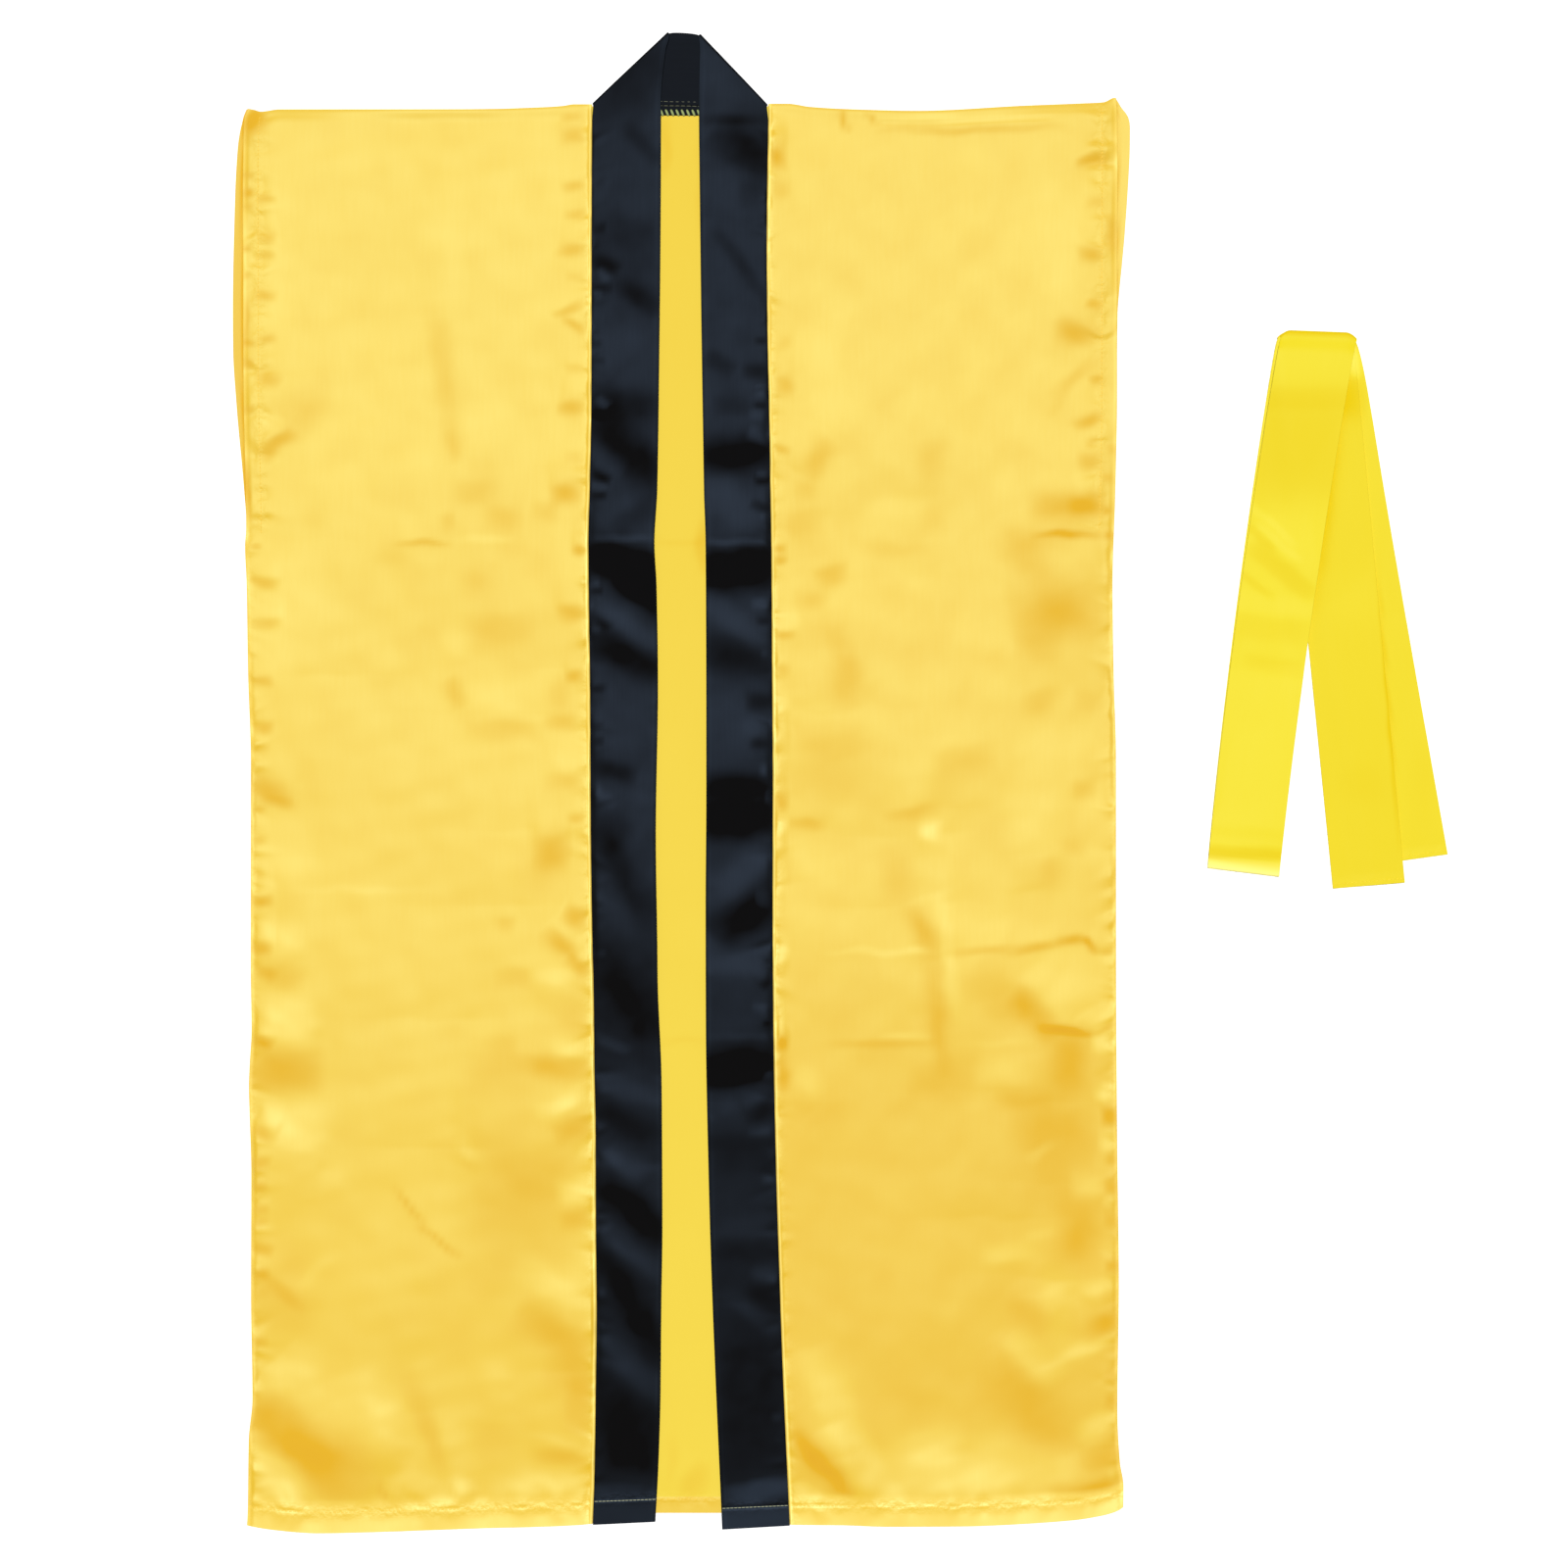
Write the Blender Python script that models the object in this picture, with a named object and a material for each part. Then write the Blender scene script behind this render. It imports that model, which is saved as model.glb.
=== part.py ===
"""Sleeveless long happi coat of satin, laid flat with its front up, with its belt folded beside it.

The origin lies on the surface under the coat, on its centre line and halfway down the body.
+X points to the wearer's left, +Y up the body to the neck and +Z up from the surface.
Tables and sizes are in millimetres; the meshes are in metres.
"""
import math
from collections import namedtuple

import bpy
import numpy as np

MM = 0.001
SEAM_GAP = 0.3

# Wall thickness of each cloth: one layer of satin, the doubled collar band and the belt.
PANEL_WALL = 1.2
BAND_WALL = 2.0
ALLOWANCE_WALL = 1.0
BELT_WALL = 1.0

# Straight levels of the coat before its edges are curved.
SHOULDER_Y = 498.0
HEM_Y = -502.0
ARMHOLE_END_Y = 196.0
HEM_DEPTH = 14.0
ARMHOLE_HEM_DEPTH = 11.0
HEM_RISE = 0.5
BACK_HEM_Y = -492.2
EDGE_BLEND = 70.0

# Neck: the visible corners of the two folded mitres, and the allowance.
RIGHT_MITRE_FOOT = (-63.8, 499.6)
RIGHT_MITRE_PEAK = (-10.9, 549.6)
LEFT_MITRE_FOOT = (59.6, 498.8)
LEFT_MITRE_PEAK = (12.4, 548.3)
NECK_CORNER = 3.0
ALLOWANCE_DEPTH = 6.0
ALLOWANCE_INSET = 1.0
MITRE_TURN_START_Y = 395.0
BAND_RAMP_Y = (455.0, 487.0)
BAND_CREASE_FADE = 120.0

# Heights of the collar band's middle: on the fronts, above the neck's layers, and across the neck.
BAND_LOW_Z = PANEL_WALL + SEAM_GAP + BAND_WALL / 2.0
BAND_NECK_Z = PANEL_WALL + SEAM_GAP + ALLOWANCE_WALL + SEAM_GAP + BAND_WALL / 2.0
NECK_STRIP_Z = BAND_WALL / 2.0
MITRE_RADIUS = (BAND_NECK_Z - NECK_STRIP_Z) / 2.0

# Folds and puckers.
FOLD_LIMIT = 3.4
PUCKER_PITCH = 31.0
PUCKER_HEIGHT = 1.5
PUCKER_REACH = 7.0
PUCKER_SHARPNESS = 1.5
SIDE_PIN = 7.0
SHOULDER_PIN_POWER = 8

# Rows of points down each cloth: their spacing, or their number where a cloth turns.
PANEL_ROW = 9.6
BACK_ROW = 26.0
BAND_ROW = 13.5
BELT_ROW = 20.0
TURNING_ROWS = 12
NECK_ROWS = 8
ALLOWANCE_ROWS = 4
ALLOWANCE_COLUMNS = 15
ROLL_STEPS = 6

# Columns of points across each cloth, as shares of its width.
HEM_COLUMN = 0.046
FRONT_COLUMNS = (0.0, 0.022, HEM_COLUMN, 0.10, 0.22, 0.38, 0.55, 0.72, 0.88, 0.955, 1.0)
BACK_COLUMNS = (0.0, 0.03, 0.12, 0.28, 0.5, 0.8)
BAND_COLUMNS = (0.0, 0.12, 0.5, 0.88, 1.0)
BELT_COLUMNS = (0.0, 0.05, 0.14, 0.38, 0.62, 0.86, 0.95, 1.0)

SideRow = namedtuple("SideRow", "y side peek")
BandRow = namedtuple("BandRow", "y outer inner")
EdgePoint = namedtuple("EdgePoint", "x y")
Crease = namedtuple("Crease", "x y angle length width height sharpness")
Drift = namedtuple("Drift", "share length shift")
TurnLine = namedtuple("TurnLine", "left_x left_y right_x right_y")

# Where the puckers of each front start in their swing.
RIGHT_PHASE = 0.4
LEFT_PHASE = 2.3

# Uneven spacing of the puckers, in shares of their pitch, and their uneven strength.
PUCKER_DRIFTS = (
    Drift(share=0.30, length=53.0, shift=1.0),
    Drift(share=0.14, length=21.0, shift=2.0),
)
PUCKER_SWELL = Drift(share=0.38, length=87.0, shift=3.0)

# Outer edge of each front, as a distance from the centre line, and how far the back shows past it.
RIGHT_SIDE = (
    SideRow(y=500.0, side=305.2, peek=1.0),
    SideRow(y=491.0, side=308.6, peek=1.3),
    SideRow(y=484.0, side=309.0, peek=2.6),
    SideRow(y=470.0, side=309.2, peek=4.2),
    SideRow(y=435.0, side=309.6, peek=5.6),
    SideRow(y=350.0, side=309.4, peek=7.4),
    SideRow(y=326.0, side=309.3, peek=7.3),
    SideRow(y=290.0, side=309.0, peek=5.4),
    SideRow(y=228.0, side=307.6, peek=1.3),
    SideRow(y=201.0, side=307.2, peek=0.0),
    SideRow(y=188.0, side=308.0, peek=0.0),
    SideRow(y=162.0, side=306.9, peek=0.0),
    SideRow(y=100.0, side=305.9, peek=0.0),
    SideRow(y=36.0, side=303.9, peek=0.0),
    SideRow(y=-109.0, side=304.0, peek=0.0),
    SideRow(y=-152.0, side=303.4, peek=0.0),
    SideRow(y=-178.0, side=304.8, peek=0.0),
    SideRow(y=-192.0, side=305.3, peek=0.0),
    SideRow(y=-208.0, side=304.9, peek=0.0),
    SideRow(y=-254.0, side=303.6, peek=0.0),
    SideRow(y=-337.0, side=303.8, peek=0.0),
    SideRow(y=-412.0, side=302.8, peek=0.0),
    SideRow(y=-441.0, side=305.4, peek=0.0),
    SideRow(y=-496.0, side=306.2, peek=0.0),
    SideRow(y=-510.0, side=307.2, peek=0.0),
)
LEFT_SIDE = (
    SideRow(y=505.0, side=304.6, peek=0.0),
    SideRow(y=500.0, side=304.7, peek=0.4),
    SideRow(y=497.4, side=304.8, peek=2.3),
    SideRow(y=493.3, side=305.1, peek=6.1),
    SideRow(y=489.0, side=305.3, peek=8.3),
    SideRow(y=484.0, side=305.4, peek=9.1),
    SideRow(y=470.0, side=305.5, peek=8.9),
    SideRow(y=450.0, side=305.7, peek=7.9),
    SideRow(y=407.0, side=305.4, peek=5.3),
    SideRow(y=387.0, side=305.3, peek=3.6),
    SideRow(y=367.0, side=305.3, peek=1.6),
    SideRow(y=352.0, side=305.3, peek=0.5),
    SideRow(y=297.0, side=305.3, peek=0.0),
    SideRow(y=228.0, side=304.1, peek=0.0),
    SideRow(y=160.0, side=302.1, peek=0.0),
    SideRow(y=98.0, side=302.9, peek=0.0),
    SideRow(y=40.0, side=304.5, peek=0.0),
    SideRow(y=-109.0, side=304.6, peek=0.0),
    SideRow(y=-233.0, side=305.4, peek=0.0),
    SideRow(y=-330.0, side=306.5, peek=0.0),
    SideRow(y=-419.0, side=305.5, peek=0.0),
    SideRow(y=-461.0, side=307.2, peek=0.0),
    SideRow(y=-484.0, side=309.8, peek=0.0),
    SideRow(y=-510.0, side=309.4, peek=0.0),
)

# Long edges of the collar band on each front, as distances from the centre line.
RIGHT_BAND = (
    BandRow(y=549.0, outer=63.8, inner=10.9),
    BandRow(y=500.0, outer=63.8, inner=15.6),
    BandRow(y=435.0, outer=64.0, inner=15.8),
    BandRow(y=297.0, outer=64.2, inner=17.2),
    BandRow(y=228.0, outer=65.4, inner=18.3),
    BandRow(y=191.0, outer=66.3, inner=20.3),
    BandRow(y=160.0, outer=66.1, inner=18.8),
    BandRow(y=90.0, outer=65.2, inner=17.8),
    BandRow(y=-14.0, outer=64.6, inner=19.3),
    BandRow(y=-97.0, outer=63.4, inner=18.2),
    BandRow(y=-117.0, outer=62.8, inner=18.0),
    BandRow(y=-186.0, outer=62.0, inner=15.3),
    BandRow(y=-217.0, outer=61.3, inner=15.0),
    BandRow(y=-290.0, outer=61.1, inner=14.7),
    BandRow(y=-350.0, outer=60.5, inner=15.5),
    BandRow(y=-407.0, outer=61.2, inner=16.0),
    BandRow(y=-459.0, outer=61.9, inner=17.5),
    BandRow(y=-505.0, outer=63.4, inner=20.1),
)
LEFT_BAND = (
    BandRow(y=549.0, outer=60.2, inner=12.4),
    BandRow(y=500.0, outer=60.0, inner=11.4),
    BandRow(y=435.0, outer=59.0, inner=12.0),
    BandRow(y=400.0, outer=58.7, inner=12.4),
    BandRow(y=350.0, outer=59.1, inner=13.0),
    BandRow(y=262.0, outer=60.8, inner=14.4),
    BandRow(y=225.0, outer=61.3, inner=15.0),
    BandRow(y=191.0, outer=61.9, inner=16.1),
    BandRow(y=100.0, outer=62.5, inner=16.5),
    BandRow(y=21.0, outer=63.0, inner=16.6),
    BandRow(y=-70.0, outer=62.9, inner=16.1),
    BandRow(y=-150.0, outer=63.4, inner=16.3),
    BandRow(y=-255.0, outer=65.4, inner=18.2),
    BandRow(y=-324.0, outer=67.6, inner=20.2),
    BandRow(y=-393.0, outer=70.0, inner=22.9),
    BandRow(y=-505.0, outer=75.1, inner=27.8),
)

# Shoulder line, hem lines and neck seam across the coat, from the wearer's right to the left.
SHOULDER_LINE = (
    EdgePoint(x=-311.0, y=494.0),
    EdgePoint(x=-306.5, y=495.6),
    EdgePoint(x=-302.0, y=494.9),
    EdgePoint(x=-297.0, y=493.6),
    EdgePoint(x=-284.0, y=495.2),
    EdgePoint(x=-160.0, y=495.3),
    EdgePoint(x=-130.0, y=495.6),
    EdgePoint(x=-110.0, y=496.3),
    EdgePoint(x=-95.0, y=496.9),
    EdgePoint(x=-84.0, y=497.7),
    EdgePoint(x=-77.0, y=498.8),
    EdgePoint(x=-64.0, y=498.8),
    EdgePoint(x=60.0, y=499.2),
    EdgePoint(x=74.0, y=499.2),
    EdgePoint(x=80.0, y=498.5),
    EdgePoint(x=88.0, y=497.1),
    EdgePoint(x=118.0, y=495.3),
    EdgePoint(x=165.0, y=494.2),
    EdgePoint(x=240.0, y=497.8),
    EdgePoint(x=280.0, y=499.4),
    EdgePoint(x=296.0, y=500.2),
    EdgePoint(x=303.8, y=503.4),
    EdgePoint(x=307.0, y=499.7),
    EdgePoint(x=310.0, y=498.2),
    EdgePoint(x=315.0, y=498.0),
)
RIGHT_HEM_LINE = (
    EdgePoint(x=-308.0, y=-500.4),
    EdgePoint(x=-288.0, y=-503.6),
    EdgePoint(x=-256.0, y=-506.1),
    EdgePoint(x=-222.0, y=-505.4),
    EdgePoint(x=-156.0, y=-503.1),
    EdgePoint(x=-131.0, y=-502.4),
    EdgePoint(x=-106.0, y=-501.8),
    EdgePoint(x=-73.0, y=-500.3),
    EdgePoint(x=-65.0, y=-499.5),
)
LEFT_HEM_LINE = (
    EdgePoint(x=75.0, y=-500.1),
    EdgePoint(x=110.0, y=-500.4),
    EdgePoint(x=143.0, y=-501.4),
    EdgePoint(x=195.0, y=-501.1),
    EdgePoint(x=242.0, y=-499.2),
    EdgePoint(x=275.0, y=-496.8),
    EdgePoint(x=292.0, y=-494.2),
    EdgePoint(x=299.0, y=-492.6),
    EdgePoint(x=306.0, y=-490.1),
    EdgePoint(x=310.5, y=-487.3),
)
BACK_HEM_LINE = (
    EdgePoint(x=-308.0, y=-492.3),
    EdgePoint(x=240.0, y=-492.2),
    EdgePoint(x=284.0, y=-491.2),
    EdgePoint(x=299.0, y=-489.4),
    EdgePoint(x=310.0, y=-486.4),
)
NECK_SEAM_LINE = (
    EdgePoint(x=-66.8, y=497.8),
    EdgePoint(x=62.6, y=496.9),
)
RIGHT_BAND_END = TurnLine(left_x=-63.4, left_y=-500.3, right_x=-20.9, right_y=-498.2)
LEFT_BAND_END = TurnLine(left_x=27.8, left_y=-503.6, right_x=74.9, right_y=-500.9)

# Creases of the two fronts. The packing creases run straight across the coat.
UPPER_PACKING_Y = 191.0
LOWER_PACKING_Y = -158.0
FRONT_CREASES = (
    # packing creases
    Crease(x=-187.0, y=191.0, angle=0.0, length=330.0, width=7.0, height=1.1, sharpness=1.2),
    Crease(x=184.0, y=191.0, angle=0.0, length=330.0, width=7.0, height=1.2, sharpness=1.2),
    Crease(x=-187.0, y=-158.0, angle=0.0, length=320.0, width=7.0, height=0.8, sharpness=1.2),
    Crease(x=210.0, y=-158.0, angle=0.0, length=330.0, width=7.0, height=1.3, sharpness=1.2),
    # wearer's right front
    Crease(x=-183.0, y=-283.0, angle=-47.0, length=90.0, width=6.0, height=1.6, sharpness=1.3),
    Crease(x=-250.0, y=-432.0, angle=-50.0, length=175.0, width=15.0, height=3.0, sharpness=1.8),
    Crease(x=-290.0, y=-478.0, angle=-40.0, length=70.0, width=13.0, height=2.2, sharpness=2.0),
    Crease(x=-186.0, y=-484.0, angle=62.0, length=60.0, width=7.0, height=1.8, sharpness=1.6),
    Crease(x=-158.0, y=-486.0, angle=118.0, length=56.0, width=7.0, height=1.6, sharpness=1.6),
    Crease(x=-160.0, y=330.0, angle=-82.0, length=230.0, width=11.0, height=1.3, sharpness=1.8),
    Crease(x=-120.0, y=250.0, angle=-12.0, length=110.0, width=16.0, height=1.4, sharpness=2.0),
    Crease(x=-128.0, y=112.0, angle=8.0, length=110.0, width=15.0, height=1.4, sharpness=2.0),
    Crease(x=-250.0, y=105.0, angle=-60.0, length=140.0, width=14.0, height=1.4, sharpness=2.0),
    Crease(x=-270.0, y=-95.0, angle=28.0, length=90.0, width=14.0, height=1.9, sharpness=2.0),
    Crease(x=-272.0, y=-190.0, angle=-24.0, length=95.0, width=15.0, height=2.1, sharpness=2.0),
    Crease(x=-100.0, y=-60.0, angle=-38.0, length=110.0, width=14.0, height=1.6, sharpness=2.0),
    Crease(x=-92.0, y=-205.0, angle=34.0, length=90.0, width=13.0, height=1.5, sharpness=2.0),
    Crease(x=-105.0, y=-345.0, angle=-30.0, length=120.0, width=17.0, height=2.1, sharpness=2.0),
    # wearer's left front
    Crease(x=181.0, y=-92.0, angle=-82.0, length=175.0, width=6.5, height=1.9, sharpness=1.3),
    Crease(x=262.0, y=240.0, angle=-14.0, length=105.0, width=13.0, height=2.1, sharpness=2.0),
    Crease(x=250.0, y=163.0, angle=12.0, length=130.0, width=16.0, height=2.3, sharpness=2.0),
    Crease(x=255.0, y=95.0, angle=-20.0, length=110.0, width=14.0, height=1.5, sharpness=2.0),
    Crease(x=262.0, y=-112.0, angle=-35.0, length=115.0, width=16.0, height=2.5, sharpness=1.9),
    Crease(x=268.0, y=-300.0, angle=30.0, length=110.0, width=14.0, height=1.7, sharpness=2.0),
    Crease(x=110.0, y=300.0, angle=-55.0, length=150.0, width=15.0, height=1.5, sharpness=2.0),
    Crease(x=100.0, y=120.0, angle=-64.0, length=150.0, width=13.0, height=1.4, sharpness=2.0),
    Crease(x=92.0, y=-10.0, angle=10.0, length=80.0, width=12.0, height=1.2, sharpness=2.0),
    Crease(x=118.0, y=-436.0, angle=-58.0, length=135.0, width=14.0, height=2.8, sharpness=1.8),
    Crease(x=195.0, y=-452.0, angle=8.0, length=175.0, width=24.0, height=2.7, sharpness=2.0),
    Crease(x=275.0, y=-405.0, angle=-28.0, length=100.0, width=14.0, height=1.9, sharpness=2.0),
)

# Creases of the collar band, on both legs.
BAND_CREASES = (
    Crease(x=-43.0, y=191.0, angle=1.0, length=90.0, width=7.5, height=2.0, sharpness=1.2),
    Crease(x=40.0, y=191.0, angle=0.0, length=90.0, width=7.5, height=2.0, sharpness=1.2),
    Crease(x=-40.0, y=-156.0, angle=0.0, length=90.0, width=8.0, height=1.4, sharpness=1.3),
    Crease(x=40.0, y=-160.0, angle=0.0, length=90.0, width=7.5, height=1.9, sharpness=1.2),
    Crease(x=-42.0, y=136.0, angle=-38.0, length=90.0, width=9.0, height=1.9, sharpness=1.8),
    Crease(x=-42.0, y=62.0, angle=-28.0, length=90.0, width=22.0, height=1.6, sharpness=2.0),
    Crease(x=-42.0, y=-50.0, angle=-60.0, length=120.0, width=13.0, height=1.2, sharpness=2.0),
    Crease(x=-40.0, y=-196.0, angle=-18.0, length=80.0, width=10.0, height=1.5, sharpness=1.9),
    Crease(x=-38.0, y=-246.0, angle=-26.0, length=80.0, width=10.0, height=1.7, sharpness=1.9),
    Crease(x=-38.0, y=-296.0, angle=-38.0, length=85.0, width=10.0, height=1.7, sharpness=1.9),
    Crease(x=-38.0, y=-378.0, angle=-34.0, length=85.0, width=10.0, height=1.7, sharpness=1.9),
    Crease(x=-40.0, y=372.0, angle=-58.0, length=150.0, width=15.0, height=1.1, sharpness=2.0),
    Crease(x=38.0, y=382.0, angle=-58.0, length=150.0, width=15.0, height=1.1, sharpness=2.0),
    Crease(x=38.0, y=135.0, angle=-40.0, length=90.0, width=9.0, height=1.9, sharpness=1.8),
    Crease(x=39.0, y=62.0, angle=-20.0, length=90.0, width=20.0, height=1.6, sharpness=2.0),
    Crease(x=40.0, y=-38.0, angle=40.0, length=100.0, width=11.0, height=1.9, sharpness=1.8),
    Crease(x=40.0, y=-112.0, angle=6.0, length=90.0, width=20.0, height=1.5, sharpness=2.0),
    Crease(x=42.0, y=-198.0, angle=-12.0, length=80.0, width=11.0, height=1.4, sharpness=1.9),
    Crease(x=46.0, y=-270.0, angle=22.0, length=80.0, width=13.0, height=1.2, sharpness=1.9),
    Crease(x=50.0, y=-352.0, angle=-34.0, length=90.0, width=11.0, height=1.6, sharpness=1.9),
    Crease(x=52.0, y=-440.0, angle=20.0, length=90.0, width=18.0, height=1.2, sharpness=2.0),
)

# Belt: the lines at which its four legs end or turn, each from its left edge to its right edge.
BELT_LAYER_GAP = 0.5
RIGHT_LEG_END = TurnLine(left_x=487.1, left_y=-35.9, right_x=538.2, right_y=-28.8)
TOP_FOLD = TurnLine(left_x=420.4, left_y=340.2, right_x=473.6, right_y=338.2)
LEFT_LEG_FOLD = TurnLine(left_x=369.2, left_y=-38.5, right_x=419.3, right_y=-44.7)
MIDDLE_LEG_END = TurnLine(left_x=457.5, left_y=-52.9, right_x=507.8, right_y=-48.6)
RIGHT_LEG_BOW = 1.5
RIGHT_LEG_BOW_SKEW = 6.0
LEFT_LEG_BOW = -3.4
BOW_FULLNESS = 0.75
CORNER_PULL = 4.0
CORNER_REACH = 7.0
CORNER_FADE = 9.0
INNER_FOLD_SHIFT = 2.0
LOWER_FOLD_RADIUS = 1.1
LOWER_FOLD_PUFF_LENGTH = 26.0
DRAPE_LENGTH = 20.0
DRAPE_CLEARANCE = 1.0

# sRGB colours of the three satins, and the roughness of each side.
GOLDEN = (0.968, 0.835, 0.361)
BLACK = (0.110, 0.125, 0.145)
LEMON = (0.973, 0.882, 0.212)
SATIN_ROUGHNESS = 0.35
INSIDE_ROUGHNESS = 0.45
OVERLOCK_ROUGHNESS = 0.55


def through_points(places, values, at):
    """Smooth curve through the points of a table, read at `at`: a cubic between each two, no overshoot."""
    order = np.argsort(places)
    places = np.asarray(places, dtype=float)[order]
    values = np.asarray(values, dtype=float)[order]
    chords = np.diff(values) / np.diff(places)
    product = chords[:-1] * chords[1:]
    total = np.where(product > 0.0, chords[:-1] + chords[1:], 1.0)
    slopes = np.concatenate((chords[:1], np.where(product > 0.0, 2.0 * product / total, 0.0), chords[-1:]))
    at = np.clip(at, places[0], places[-1])
    span = np.clip(np.searchsorted(places, at, side="right") - 1, 0, len(places) - 2)
    width = places[span + 1] - places[span]
    s = (at - places[span]) / width
    rise = values[span + 1] - values[span]
    start = slopes[span] * width
    end = slopes[span + 1] * width
    return values[span] + s * start + s**2 * (3 * rise - 2 * start - end) + s**3 * (start + end - 2 * rise)


def column(table, key):
    """One named column of a table."""
    return [getattr(row, key) for row in table]


def table_curve(table, place, value, at):
    """Smooth curve of one named column of a table over another."""
    return through_points(column(table, place), column(table, value), at)


def ease(amount):
    """Soft step from 0 to 1."""
    amount = np.clip(amount, 0.0, 1.0)
    return amount * amount * (3.0 - 2.0 * amount)


def crease_height(creases, x, y):
    """Height of all creases at a point: a rounded ridge across each line that fades towards its ends."""
    total = np.zeros_like(x)
    for crease in creases:
        turn = math.radians(crease.angle)
        along = (x - crease.x) * math.cos(turn) + (y - crease.y) * math.sin(turn)
        across = (y - crease.y) * math.cos(turn) - (x - crease.x) * math.sin(turn)
        fade = np.clip(1.0 - (2.0 * along / crease.length) ** 2, 0.0, 1.0) ** 2
        ridge = np.exp(-np.abs(across / crease.width) ** crease.sharpness)
        total = total + crease.height * fade * ridge
    return FOLD_LIMIT * np.tanh(total / FOLD_LIMIT)


def drifting(drift, y, phase):
    """Slow swing of a share to each side of zero along the garment's length."""
    return drift.share * np.sin(y / drift.length + drift.shift * phase)


def pucker_height(y, distance, phase):
    """Uneven puckers beside a seam: highest PUCKER_REACH from it, and spaced about PUCKER_PITCH apart."""
    turns = y / PUCKER_PITCH
    for drift in PUCKER_DRIFTS:
        turns = turns + drifting(drift, y, phase)
    wave = (0.5 + 0.5 * np.cos(2.0 * math.pi * turns)) ** PUCKER_SHARPNESS
    strength = 1.0 - PUCKER_SWELL.share + drifting(PUCKER_SWELL, y, phase)
    away = distance / PUCKER_REACH
    return PUCKER_HEIGHT * strength * wave * away * np.exp(1.0 - away)


def level_rows(top, bottom, spacing, stops):
    """Row levels from top to bottom, near the spacing, with a row and two close ones at each stop."""
    levels = [top, *stops, bottom]
    rows = []
    for high, low in zip(levels[:-1], levels[1:]):
        count = max(2, round((high - low) / spacing))
        rows.extend(np.linspace(high, low, count, endpoint=False))
    rows.append(bottom)
    for stop in stops:
        rows.extend((stop + spacing / 2.0, stop - spacing / 2.0))
    return np.array(sorted(rows, reverse=True))


def satin(name, color, roughness):
    """Satin material from an sRGB colour."""
    linear = [(c / 12.92) if c <= 0.04045 else ((c + 0.055) / 1.055) ** 2.4 for c in color]
    material = bpy.data.materials.new(name)
    material.use_nodes = True
    shader = material.node_tree.nodes["Principled BSDF"]
    shader.inputs["Base Color"].default_value = (*linear, 1.0)
    shader.inputs["Roughness"].default_value = roughness
    shader.inputs["Metallic"].default_value = 0.0
    material.diffuse_color = (*linear, 1.0)
    return material


def square_to_rows(middle):
    """Outward direction of a strip at each point, square to its row and to its run."""
    row = middle[:, -1:, :] - middle[:, :1, :]
    row = row / np.linalg.norm(row, axis=2, keepdims=True)
    run = np.gradient(middle, axis=0)
    outward = np.cross(np.broadcast_to(row, middle.shape), run)
    return outward / np.linalg.norm(outward, axis=2, keepdims=True)


def cloth_wall(name, middle, outward, below, above, material):
    """Closed wall round a grid of middle points, `below` and `above` them along the outward directions."""
    rows, columns = middle.shape[:2]
    upper = middle + outward * np.broadcast_to(above, (rows, columns))[..., None]
    lower = middle - outward * np.broadcast_to(below, (rows, columns))[..., None]
    points = np.concatenate((upper.reshape(-1, 3), lower.reshape(-1, 3))) * MM
    index = np.arange(rows * columns).reshape(rows, columns)
    under = index + rows * columns
    faces = []
    for i in range(rows - 1):
        for j in range(columns - 1):
            faces.append((index[i, j], index[i, j + 1], index[i + 1, j + 1], index[i + 1, j]))
            faces.append((under[i, j], under[i + 1, j], under[i + 1, j + 1], under[i, j + 1]))
    for j in range(columns - 1):
        faces.append((index[0, j + 1], index[0, j], under[0, j], under[0, j + 1]))
        faces.append((index[-1, j], index[-1, j + 1], under[-1, j + 1], under[-1, j]))
    for i in range(rows - 1):
        faces.append((index[i, 0], index[i + 1, 0], under[i + 1, 0], under[i, 0]))
        faces.append((index[i + 1, -1], index[i, -1], under[i, -1], under[i + 1, -1]))
    mesh = bpy.data.meshes.new(name)
    mesh.from_pydata(points.tolist(), [], [tuple(int(k) for k in face) for face in faces])
    mesh.materials.append(material)
    mesh.update()
    mesh.shade_smooth()
    mesh.set_sharp_from_angle(angle=math.radians(40.0))
    piece = bpy.data.objects.new(name, mesh)
    bpy.context.scene.collection.objects.link(piece)
    return piece


def flat_outward(middle):
    """Straight up at every point."""
    outward = np.zeros_like(middle)
    outward[..., 2] = 1.0
    return outward


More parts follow.
